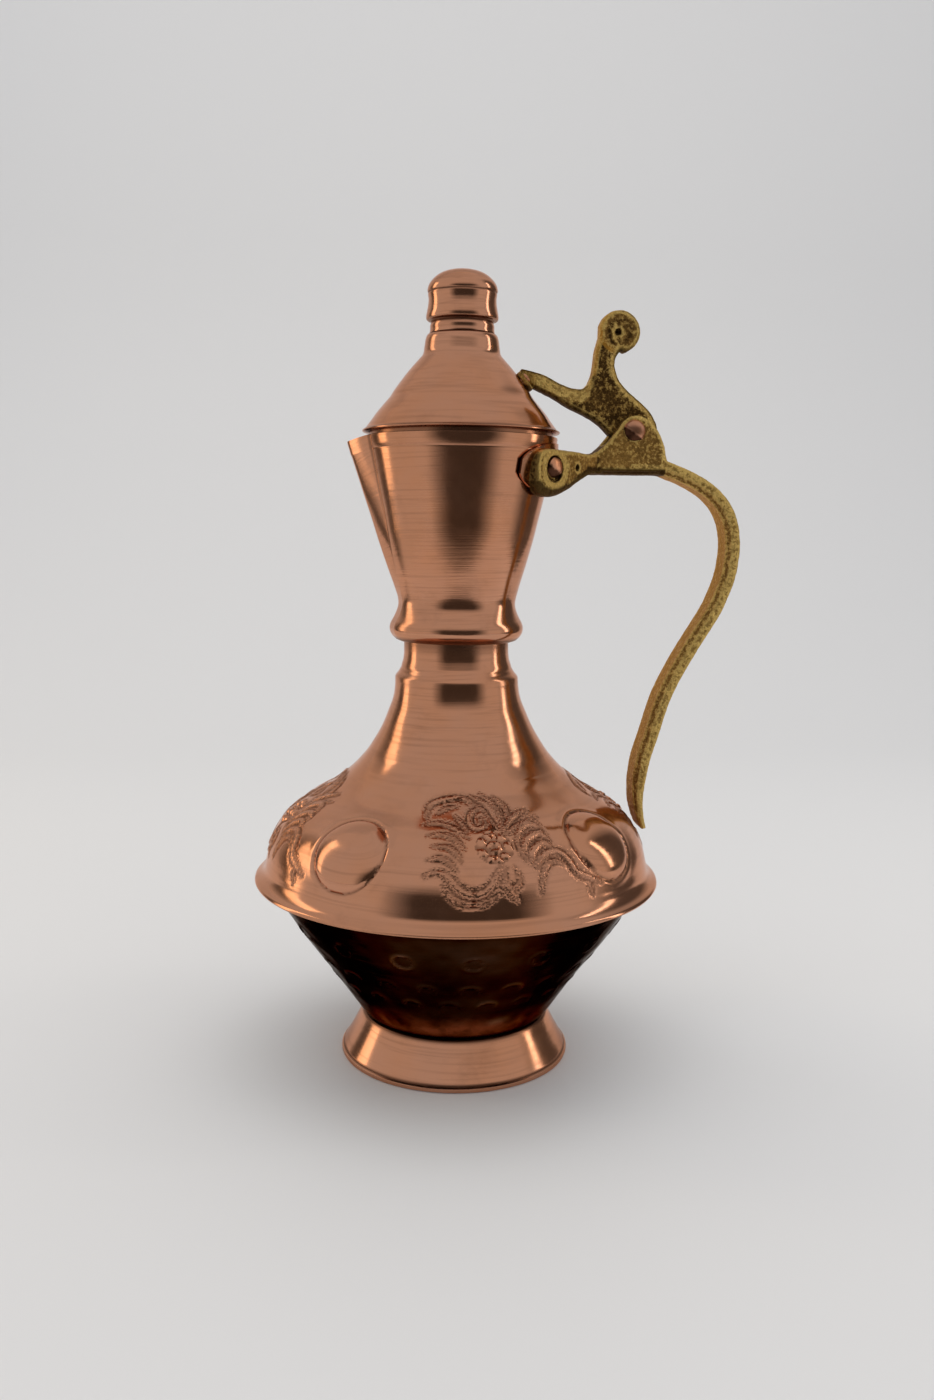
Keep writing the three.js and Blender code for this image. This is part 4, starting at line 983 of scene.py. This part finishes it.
class EWER_OT_handle(bpy.types.Operator):
    """Cast the handle with its pad, fork and strap"""
    bl_idname = "ewer.handle"
    bl_label = "Handle"

    def execute(self, context):
        sizes = context.scene.ewer_sizes
        half = sizes.strap_width / 2
        fork = plate(self.fork_side(), -half, half)
        body = combined(self.pad(half), "UNION", [self.strap(sizes, half), fork])
        left, right, low, high, slot_half = 46.9, 75, 200.7, 222, 3.3
        slot = plate([(left, low), (right, low), (right, high), (left, high)], -slot_half, slot_half)
        body = carved(body, slot, hinge_bore(), *[tool for side in (-1, 1) for tool in self.rivet_seat(side)])
        add_piece(
            "handle", fused(body, 0.36, 2), "vessel", ["handle"], "sand_cast_brass",
            self.sculpt, sharp=180)
        return {"FINISHED"}

    def sculpt(self, skin, sizes):
        """Grain and wear with painted highlight on the strap's flat sides, painted warm reflection on the
        strap's inner face, and painted shade under the pad, fork and lugs.
        """
        normals = skin.normals.copy()
        x, y, z = skin.points.T
        strap_top, strap_left, fork_left, fork_right, fork_floor = 199.5, 55, 40, 67, 198.4
        lug_end, pad_end, pad_low = 20, 41, 190
        strap = (z < strap_top) & (x > strap_left)
        # Painted warm reflection: the strap's inner face, which faces the warm light, is marked warm.
        inner = strap * np.clip(1.25 - np.abs(normals[:, 1]) * 1.8, 0, 1)
        inner = inner * (normals[:, 0] < 0.3) * (normals[:, 2] < 0.6)
        # Painted highlight: the strap's flat sides are painted pale as if lit, passed on with the rubbed wear.
        pale = 0.6 * (strap & (np.abs(normals[:, 1]) > 0.8))
        ring = np.zeros(skin.count)
        for side in (-1, 1):
            away = np.linalg.norm(skin.points - seat_place(side), axis=1) - SEAT_RADIUS
            ring = np.maximum(ring, np.exp(-((away - 1.5) / 1.3) ** 2) * (np.abs(normals[:, 1]) > 0.6))
        along = (x - LUG_PLACE[0]) * FLANK_Y + (LUG_PLACE[1] - np.abs(y)) * FLANK_X
        lug = (along < lug_end) & (x < pad_end)
        foot = np.interp(along, *zip(*LUG_FOOT))
        aside = FLANK_X * normals[:, 1] * np.sign(y) - FLANK_Y * normals[:, 0]
        side_wall = np.clip(aside - 0.45, 0, 0.3) * 2.6 * lug
        sculpt_casting(skin, sizes, np.maximum(pale, ring) * (side_wall < 0.2))
        skin.mark("warm_reflection", inner)
        # Painted shade: downward faces, the band under the fork, the lugs' lower edges and side walls, and
        # faces above the strap are marked shade.
        below = np.clip(-normals[:, 2] * 1.9 - 0.25, 0, 1) * ~strap
        under_fork = (x > fork_left) * (x < fork_right) * (z > pad_low)
        below = np.maximum(below, under_fork * np.clip((fork_floor - z) / 0.8, 0, 1))
        below = np.maximum.reduce([below, lug * np.clip((foot + 3.0 - z) / 0.9, 0, 1), side_wall])
        skin.mark("shade", np.maximum(below, 0.5 * (z > strap_top) * (np.abs(normals[:, 1]) < 0.3)))

    def fork_side(self):
        return [tuple(p) for p in flowing(FORK_SIDE[2:15], 1.2)] + [FORK_SIDE[15], FORK_SIDE[0], FORK_SIDE[1]]

    def lug(self, side):
        """The oval lug of one flank, rounded towards its face and most of all below."""
        sections = []
        steps = (0, 0.8, 2.6), (0.3, 0.35, 1.6), (0.9, 0.1, 0.7), (1.9, 0, 0), (9.5, 0, 0)
        for depth, inset, rise in steps:
            ring = []
            for point in flowing(LUG_SIDE + LUG_SIDE[:1], 1.5)[:-1]:
                inward = (Vector((3, 196)) - point).normalized()
                s, z = point + inward * inset
                ring.append((s, depth, z + rise * min(1, max(0, (195 - z) / 6))))
            sections.append(ring)
        mesh = swept(sections)
        turn = Matrix.Rotation(math.atan2(FLANK_X, FLANK_Y), 4, "Z")
        place = Matrix.Translation((LUG_PLACE[0], -LUG_PLACE[1], 0))
        bmesh.ops.transform(mesh, matrix=place @ turn, verts=mesh.verts)
        bmesh.ops.scale(mesh, vec=(1, -side, 1), verts=mesh.verts)
        bmesh.ops.recalc_face_normals(mesh, faces=mesh.faces)
        return mesh

    def pad(self, half):
        """The saddle: a core drawn from above and from the side, with two lugs and the cup's cone cut away."""
        flank = [(45.5, -half), (43.0, -half), (24.5, -22.2), (20.5, -20.0), (12.0, -14.0)]
        above = flank + [(x, -y) for x, y in reversed(flank)]
        mesh = drawn_out([(x, y, 186) for x, y in above], (0, 0, 22))
        side = plate([tuple(p) for p in flowing(PAD_SIDE + PAD_SIDE[:1], 1.5)][:-1], -45, 45)
        clear, low, high = 1.3, 184, 208
        cone = [(0, low), (radius_at(CUP_SIDE, low) + clear, low)]
        cone += [(radius_at(CUP_SIDE, high) + clear, high), (0, high)]
        core = combined(mesh, "INTERSECT", [side])
        return carved(combined(core, "UNION", [self.lug(-1), self.lug(1)]), spun(cone, 96, closed=False))

    def strap(self, sizes, half):
        """The band that runs under the fork, bows out and comes down to the shoulder."""
        back = flowing(STRAP_BACK, 1.6)
        sections = []
        for i, point in enumerate(back):
            ahead = (back[min(i + 1, len(back) - 1)] - back[max(i - 1, 0)]).normalized()
            inward = Vector((ahead.y, 0, -ahead.x))
            share = i / (len(back) - 1)
            thin = min(1.0, max(0.0, (share - 0.87) / 0.13)) ** 1.5
            end_depth = 1.7
            depth = sizes.strap_depth * (1 - thin) + end_depth * thin
            chamfer = min(sizes.strap_chamfer, depth * 0.4)
            corners = [
                (0.0, 0.5 - half), (0.0, half - 0.5), (0.5, half), (depth - chamfer, half),
                (depth, half - chamfer), (depth, chamfer - half), (depth - chamfer, -half), (0.5, -half),
            ]
            sections.append([Vector((point.x, y, point.y)) + inward * x for x, y in corners])
        return swept(sections)

    def rivet_seat(self, side):
        """The counterbore on the pad's flank, the rivet's hole and the small blind hole beside it."""
        flank = flank_normal(side)
        seat = pin([(0, -1.5), (SEAT_RADIUS, -1.5), (4.4, 12), (0, 12)], aimed(seat_place(side), flank))
        hole = pin([(0, -12), (2.2, -12), (2.2, 2), (0, 2)], aimed(pad_rivet_floor(side), flank))
        dimple = pin([(0, -1.3), (0.9, -1.3), (1.2, 2), (0, 2)], aimed((36.3, side * 12.8, 197.5), flank))
        return seat, hole, dimple


def flank_normal(side):
    """The way a flank of the pad faces."""
    return Vector((FLANK_X, side * FLANK_Y, 0))


def seat_place(side):
    """The middle of the counterbore, at the flank's face."""
    return 27.7, side * 20.35, 196.6


def pad_rivet_floor(side):
    """The place on the counterbore's floor where the rivet's head sits."""
    return Vector((27.75, side * 18.25, 197.2))


def hinge_bore():
    """The hole that the hinge rivet goes through, in the fork and in the lever."""
    radius, reach = 2.3, 9
    profile = [(0, -reach), (radius, -reach), (radius, reach), (0, reach)]
    return pin(profile, aimed((HINGE_X, 0, HINGE_Z), (0, 1, 0)))


class EWER_OT_lever(bpy.types.Operator):
    """Cast the thumb lever with its arm, leaf and scroll"""
    bl_idname = "ewer.lever"
    bl_label = "Thumb lever"

    def execute(self, context):
        half = context.scene.ewer_sizes.lever_width / 2
        blade = plate(self.outline(), -half, half)
        rims = [e for e in blade.edges if abs(e.verts[0].co.y - e.verts[1].co.y) < 1e-6]
        bmesh.ops.bevel(
            blade, geom=rims, offset=1.0, offset_type="OFFSET", segments=1, profile=0.5, affect="EDGES",
            material=-1)
        body = combined(blade, "UNION", [self.leaf()])
        hole = [(0, -4), (1.2, -4), (1.2, 4), (0, 4)]
        body = carved(body, hinge_bore(), *[pin(hole, aimed(*lid_rivet_place(side))) for side in (-1, 1)])
        add_piece(
            "lever", fused(body, 0.3, 2), "cover", ["lever"], "sand_cast_brass",
            self.sculpt, sharp=180)
        return {"FINISHED"}

    def outline(self):
        """The blade's edge, from the arm's tip over the scroll and back under the boss."""
        def arc(middle, radius, angles):
            turns = [math.radians(angle) for angle in angles]
            return [Vector((middle[0] + radius * math.cos(t), middle[1] + radius * math.sin(t))) for t in turns]

        edge = flowing(LEVER_ARM_TOP, 1.2)[:-1] + flowing(LEVER_STEM_LEFT, 1.2)[:-1]
        edge += arc(SCROLL_CENTRE, SCROLL_RADIUS, range(165, -85, -12)) + flowing(LEVER_STEM_RIGHT, 1.2)
        edge += arc((HINGE_X, HINGE_Z), BOSS_RADIUS, range(-30, -150, -15)) + flowing(LEVER_LOW, 1.2)
        return [tuple(p) for p in edge]

    def leaf(self):
        """The curved tongue on the lid that the arm ends in."""
        levels, half_turn = [222.0, 223.4, 224.8, 226.2, 227.6], math.radians(20)
        loop = [(radius_at(LID_SIDE, z) + 0.35, z) for z in levels]
        outer = [(r + 1.1, z + 0.8) for r, z in reversed(loop)]
        mesh = spun(loop + outer, 24, turn=2 * half_turn, start=-half_turn)
        for vert in mesh.verts:
            share = math.atan2(vert.co.y, vert.co.x) / half_turn
            lift = (vert.co.z - 225.2) * (math.sqrt(max(0.0, 1 - 0.75 * share ** 4)) - 1)
            vert.co.z += lift
            vert.co.xy = vert.co.xy.normalized() * (vert.co.xy.length - lift * 0.82)
        return mesh

    def sculpt(self, skin, sizes):
        """Grain and wear, sloped edges on arm and stem, and the dished coil with its eye on both faces, with
        painted highlight on the slopes and edges, painted warm reflection on the stem's left side and painted
        shade in the coil and below.
        """
        def away_from(*line):
            return distance_to_line(skin.points * (1, 0, 1), np.array([(a, 0, b) for a, b in line]))[0]

        x, y, z = skin.points.T
        cx, cz = SCROLL_CENTRE
        arm, back = away_from(*LEVER_ARM_TOP), away_from(*LEVER_STEM_RIGHT)
        front = away_from(*LEVER_STEM_LEFT[1:])
        face = np.abs(skin.normals[:, 1]) > 0.55
        arm_end, stem_right, stem_low, scroll_left, leaf_end, leaf_low = 42.0, 47, 226, 50, 24.5, 224
        left = np.clip((arm_end - x) / 1.5, 0, 1)
        slope = face * np.maximum(np.clip(1 - arm / 4.6, 0, 1) * left, np.clip(1 - back / 1.9, 0, 1))
        away = np.hypot(x - cx, z - cz)
        dish = np.clip((SCROLL_RADIUS - 0.8 - away) / 2.4, 0, 1) * face
        coil = away_from((cx - 1.6, cz + 1.8), (cx - 2.4, cz), (cx - 2.2, cz - 2.2), (cx - 1.0, cz - 3.6))
        ridge = np.exp(-(coil / 0.45) ** 2) * dish
        eye = np.clip(1 - (np.hypot(x - cx + 0.6, z - cz + 0.2) / 1.15) ** 2, 0, None) * face
        edge = np.clip((0.93 - np.abs(skin.normals[:, 1])) / 0.2, 0, 0.9)
        skin.points[:, 1] -= np.sign(y) * (0.36 * dish - 0.30 * ridge + 1.6 * eye + 0.6 * slope)
        under = np.clip(-skin.normals[:, 2] * 1.5 - 0.2, 0, 1)
        stem = (x < stem_right) * (z > stem_low)
        rim = np.clip(away - SCROLL_RADIUS + 1.5, 0, 1) * (away < SCROLL_RADIUS + 0.5)
        rim *= x < scroll_left
        margin = face * np.maximum(np.clip(1.5 - front, 0, 1), rim)
        # Painted highlight: edges that face down stay dark and the rest turn pale as if lit.
        edge = edge * (under < 0.3) * (1 - 0.45 * stem)
        sculpt_casting(skin, sizes, np.maximum.reduce([edge, 0.75 * np.clip(slope * 5, 0, 1), 0.6 * ridge]))
        plain = face * (slope < 0.05) * (away > 6) * (1 - margin)
        tip = np.clip((leaf_end - x) / 1.5, 0, 1) * (z > leaf_low)
        # Painted shade in the eye and the dish, on downward faces, on the stem's plain faces and at the arm's
        # tip.
        shades = [eye, 0.22 * dish - 0.8 * ridge, under, 0.42 * plain, 0.5 * tip]
        skin.mark("shade", np.maximum.reduce(shades))
        # Painted warm reflection on the stem's left side, its margin, the scroll's left rim and the arm's tip.
        stem_back = np.clip((scroll_left + 1 - x) / 3, 0, 1) * (z > stem_low + 1)
        skin.mark("warm_reflection", np.maximum(stem_back * np.maximum(~face, margin), tip))


def lid_rivet_place(side):
    """A point on the lid's cone under the lever's leaf, and the way out of the metal there."""
    turn, level = side * math.radians(14), 224.8
    radius = radius_at(LID_SIDE, level)
    origin = Vector((radius * math.cos(turn), radius * math.sin(turn), level))
    return origin, Vector((math.cos(turn) * 0.77, math.sin(turn) * 0.77, 0.64))


def lower_left(along_x, along_z):
    """How far a place lies towards the lower left of a rivet's head, which is beaten down and painted in shade.
    """
    return -(along_x * 0.55 + along_z * 0.85)


class EWER_OT_rivets(bpy.types.Operator):
    """Set the copper rivets and the washers they are closed on"""
    bl_idname = "ewer.rivets"
    bl_label = "Rivets"

    def execute(self, context):
        half = context.scene.ewer_sizes.strap_width / 2
        head = [(0, -half - 1.35), (1.8, -half - 1.25), (3.1, -half - 0.85), (3.6, -half - 0.1)]
        head += [(3.6, -half + 0.1)]
        shaft = [(2.0, -half + 0.1), (2.0, half - 0.1)]
        mesh = pin(
            head + shaft + [(r, -z) for r, z in reversed(head)], aimed((HINGE_X, 0, HINGE_Z), (0, 1, 0)))
        bmesh.ops.subdivide_edges(mesh, edges=mesh.edges, cuts=1, use_grid_fill=True)
        for vert in mesh.verts:
            if abs(vert.co.y) > half + 0.3:
                beaten = max(0.0, lower_left(vert.co.x - HINGE_X, vert.co.z - HINGE_Z))
                vert.co.y -= math.copysign(min(0.7, beaten * 0.30), vert.co.y)
        self.add("hinge_rivet", mesh, "vessel", (HINGE_X - 0.3, 0, HINGE_Z - 0.3))
        for side, word in ((-1, "near"), (1, "far")):
            profile = [(0, -6.9), (1.3, -6.85), (2.4, -6.4), (2.5, -5.95), (1.9, -5.9), (1.9, 0.05)]
            profile += [(2.65, 0.05), (3.2, 0.4), (3.2, 1.0), (2.6, 1.5), (1.2, 1.85), (0, 1.9)]
            floor, out = pad_rivet_floor(side), flank_normal(side)
            along = Vector((-side * out.y, side * out.x, 0)) * -side
            mesh = pin(profile, aimed(floor, out))
            bmesh.ops.subdivide_edges(mesh, edges=mesh.edges, cuts=1, use_grid_fill=True)
            for vert in mesh.verts:
                away = vert.co - floor
                if away.dot(out) > 0.3:
                    beaten = max(0.0, lower_left(away.x, away.z))
                    vert.co += along * 0.5 - out * min(0.9, beaten * 0.38)
            self.add("pad_rivet_" + word, mesh, "vessel", floor + along * 0.5)
            turn, place = math.radians(30.6), (25.3, side * 15.0, 197.2)
            wall = Vector((math.cos(turn), side * math.sin(turn), -0.2))
            ring = spun([(2.2, -1.2), (2.2, -2.0), (3.2, -2.0), (3.2, -1.2)], 40)
            bmesh.ops.transform(ring, matrix=aimed(place, wall), verts=ring.verts)
            self.add("pad_rove_" + word, ring, "vessel")
            profile = [(0, -1.7), (1.1, -1.6), (1.6, -1.0), (0.9, -0.9), (0.9, 1.85), (1.6, 1.85), (1.4, 2.3)]
            profile += [(0, 2.6)]
            self.add("lid_rivet_" + word, pin(profile, aimed(*lid_rivet_place(side)), 24), "cover")
        return {"FINISHED"}

    def add(self, name, mesh, body, middle=None):
        """Adds one rivet or washer; the lower left of a head about this middle is beaten down and darkened with
        painted shade.
        """
        def sculpt(skin, sizes):
            skin.lift(0.05 * smooth_noise(skin.points, 1.4, 9))
            if middle is not None:
                away = skin.points - np.array(middle)
                # Painted shade on the lower left of the head.
                skin.mark("hollow_and_shade", np.clip(lower_left(away[:, 0], away[:, 2]) / 0.5, 0, 1))

        bmesh.ops.recalc_face_normals(mesh, faces=mesh.faces)
        add_piece(name, mesh, body, [name], "peened_copper", sculpt, sharp=30)


class EWER_OT_lid(bpy.types.Operator):
    """Spin the conical lid"""
    bl_idname = "ewer.lid"
    bl_label = "Lid"

    def execute(self, context):
        seat = [(29.1, 206.4), (29.6, 206.4), (29.6, 208.2), (31.3, 208.45)]
        outer = seat + [(31.8, 208.5), (32.05, 208.7), (32.0, 209.0), (31.7, 209.2)] + flowing(LID_SIDE, 0.7)
        outer += [(10.4, 239.6), (9.3, 239.65), (9.3, 243.0)]
        inner = [
            (8.6, 243.0), (8.6, 238.7), (9.9, 238.5), (10.5, 236.2), (11.3, 233.6), (12.5, 231.9),
            (18.5, 225.1), (24.3, 217.0), (28.9, 210.9), (29.2, 209.6),
        ]
        # Painted shade on the seat and under the lid's rim, at 207.3.
        add_piece(
            "lid", spun(outer + inner, 320), "cover", ["lid"], "polished_copper",
            lambda skin, sizes: sculpt_plain(skin, sizes, ((207.3, 1.2), (209.25, 0.15), (239.6, 0.3))))
        return {"FINISHED"}


class EWER_OT_finial(bpy.types.Operator):
    """Spin the ribbed finial"""
    bl_idname = "ewer.finial"
    bl_label = "Finial"

    def execute(self, context):
        outer = [(0, 259.85), (2.2, 259.75)] + flowing(FINIAL_SIDE[::-1], 0.35) + [(10.5, 239.75)]
        inner = [
            (9.45, 239.75), (9.45, 243.3), (10.7, 244.9), (10.2, 248.6), (10.2, 251.6), (10.3, 253.6),
            (9.0, 256.2), (5.6, 258.1), (0, 258.9),
        ]
        # Painted shade in the undercut below the ring, at 243.4.
        add_piece(
            "finial", spun(outer + inner, 240, closed=False), "cover", ["finial"],
            "polished_copper", lambda skin, sizes: sculpt_plain(skin, sizes, ((243.4, 0.75), (252.4, 0.3))))
        return {"FINISHED"}


class EWER_OT_stage(bpy.types.Operator):
    """Lay the pale floor and set the soft studio light and the camera"""
    bl_idname = "ewer.stage"
    bl_label = "Studio"

    def execute(self, context):
        self.floor(context)
        self.world(context)
        for name, place, size, power, tint in (
            ("light_left", (-0.80, 0.30, 0.36), (0.22, 0.75), 0.95, (1.0, 0.80, 0.54)),
            ("light_right", (0.68, -0.02, 0.36), (0.09, 0.60), 0.55, (1.0, 0.93, 0.84)),
            ("light_top", (0.0, 0.05, 1.3), (1.5, 1.3), 5.2, (1.0, 0.98, 0.96)),
        ):
            self.softbox(name, place, size, power, tint)
        bpy.data.objects["light_top"].visible_glossy = False
        self.camera(context)
        return {"FINISHED"}

    def floor(self, context):
        """A floor that sweeps up into a backdrop."""
        mesh = bmesh.new()
        near, back, bend, top, half_width = -0.30, 0.55, 0.5, 2.5, 1.5
        line = [(near, 0.0), (0.20, 0.0), (back, 0.0)]
        for turn in [step * math.pi / 24 for step in range(1, 13)]:
            line.append((back + bend * math.sin(turn), bend - bend * math.cos(turn)))
        line.append((back + bend, top))
        verts = [mesh.verts.new((-half_width, y, z)) for y, z in line]
        edges = [mesh.edges.new(pair) for pair in zip(verts, verts[1:])]
        drawn = bmesh.ops.extrude_edge_only(mesh, edges=edges)["geom"]
        moved = [v for v in drawn if isinstance(v, bmesh.types.BMVert)]
        bmesh.ops.translate(mesh, verts=moved, vec=(2 * half_width, 0, 0))
        for vert in mesh.verts:
            vert.co.x *= 0.28 + 0.30 * min(1.0, max(0.0, vert.co.y - 0.1) / 0.8)
        bmesh.ops.recalc_face_normals(mesh, faces=mesh.faces)
        data = bpy.data.meshes.new("floor")
        mesh.to_mesh(data)
        mesh.free()
        data.shade_smooth()
        material = bpy.data.materials.new("studio_floor")
        material.use_nodes = True
        shader = material.node_tree.nodes["Principled BSDF"]
        shader.inputs["Base Color"].default_value = (*context.scene.ewer_finishes.floor, 1)
        shader.inputs["Roughness"].default_value = 0.6
        data.materials.append(material)
        piece = bpy.data.objects.new("floor", data)
        context.scene.collection.objects.link(piece)

    def world(self, context):
        """Dim room light, and a pale room for what looks into it or mirrors it, darker towards the front."""
        world = bpy.data.worlds.new("studio")
        context.scene.world = world
        world.use_nodes = True
        net = Net(world.node_tree)
        sky = world.node_tree.nodes["Background"]
        where = net.add("ShaderNodeTexCoord", {}, {}, "Generated")
        east, north, up = (net.add("ShaderNodeSeparateXYZ", {}, {0: where}, axis) for axis in "XYZ")
        south = north * -1.0
        dark_front = net.between(south, 0.62, 0.86) * net.between(up * -1.0, -0.50, -0.22)
        dark_east = net.between(east, 0.59, 0.77) * net.between(north, -0.25, 0.05)
        dark_west = net.between(east * -1.0, 0.59, 0.77) * net.between(north, 0.30, 0.50)
        dark_side = dark_east + dark_west
        room = net.tint(net.between(up, -0.1, 0.9), (0.66, 0.64, 0.61), (0.62, 0.61, 0.60))
        room = net.tint(dark_side * 0.9, room, (0.05, 0.045, 0.04))
        room = net.tint(dark_front * 0.95, room, (0.03, 0.025, 0.02))
        rays = net.add("ShaderNodeLightPath", {}, {}, "Is Camera Ray")
        mirrored = net.add("ShaderNodeLightPath", {}, {}, "Is Glossy Ray")
        through = net.add("ShaderNodeLightPath", {}, {}, "Is Transmission Ray")
        shade = net.tint(mirrored + through, (0.62, 0.62, 0.63), room)
        shade = net.tint(rays, shade, (0.80, 0.80, 0.81))
        world.node_tree.links.new(shade.socket, sky.inputs["Color"])

    def softbox(self, name, place, size, power, tint):
        """A soft rectangular light that faces the ewer's middle."""
        light = bpy.data.lights.new(name, "AREA")
        light.shape = "RECTANGLE"
        light.size, light.size_y = size
        light.energy = power
        light.color = tint
        lamp = bpy.data.objects.new(name, light)
        lamp.location = place
        ewer_middle = Vector((0, 0, 0.13))
        aim = ewer_middle - Vector(place)
        lamp.rotation_euler = aim.to_track_quat("-Z", "Y").to_euler()
        bpy.context.scene.collection.objects.link(lamp)

    def camera(self, context):
        """The photograph's view: low, close and turned six degrees about the ewer."""
        lens = bpy.data.cameras.new("camera")
        lens.lens = 31.19
        lens.sensor_width = 36
        lens.clip_start = 0.01
        camera = bpy.data.objects.new("camera", lens)
        camera.location = (AXIS_X - 0.0421, -0.4005, 0.1780)
        heading, dip, roll = -6 - 0.43, 8.06, 0.716
        turn = Matrix.Rotation(math.radians(heading), 4, "Z") @ Matrix.Rotation(math.radians(90 - dip), 4, "X")
        camera.rotation_euler = (turn @ Matrix.Rotation(math.radians(roll), 4, "Z")).to_euler()
        context.scene.collection.objects.link(camera)
        context.scene.camera = camera
        context.scene.view_settings.view_transform = "Standard"


class EWER_PT_panel(bpy.types.Panel):
    """Sizes, colours and pieces of the ewer"""
    bl_label = "Copper ewer"
    bl_idname = "EWER_PT_panel"
    bl_space_type = "VIEW_3D"
    bl_region_type = "UI"
    bl_category = "Ewer"

    def draw(self, context):
        for group in (context.scene.ewer_sizes, context.scene.ewer_finishes):
            box = self.layout.box()
            for key in group.__annotations__:
                box.prop(group, key)
        for piece in PIECES:
            self.layout.operator(piece.bl_idname)


PIECES = (
    EWER_OT_foot, EWER_OT_bowl, EWER_OT_shoulder, EWER_OT_cup, EWER_OT_saddle_plate, EWER_OT_handle,
    EWER_OT_lever, EWER_OT_rivets, EWER_OT_lid, EWER_OT_finial, EWER_OT_stage,
)
CLASSES = (EwerSizes, EwerFinishes, *PIECES, EWER_PT_panel)


def register():
    for part in CLASSES:
        bpy.utils.register_class(part)
    bpy.types.Scene.ewer_sizes = bpy.props.PointerProperty(type=EwerSizes)
    bpy.types.Scene.ewer_finishes = bpy.props.PointerProperty(type=EwerFinishes)


def unregister():
    del bpy.types.Scene.ewer_finishes
    del bpy.types.Scene.ewer_sizes
    for part in reversed(CLASSES):
        bpy.utils.unregister_class(part)


def main():
    register()
    for operator in (
        bpy.ops.ewer.foot, bpy.ops.ewer.bowl, bpy.ops.ewer.shoulder, bpy.ops.ewer.cup,
        bpy.ops.ewer.saddle_plate, bpy.ops.ewer.handle, bpy.ops.ewer.lever, bpy.ops.ewer.rivets,
        bpy.ops.ewer.lid, bpy.ops.ewer.finial, bpy.ops.ewer.stage,
    ):
        operator()


if __name__ == "__main__":
    main()
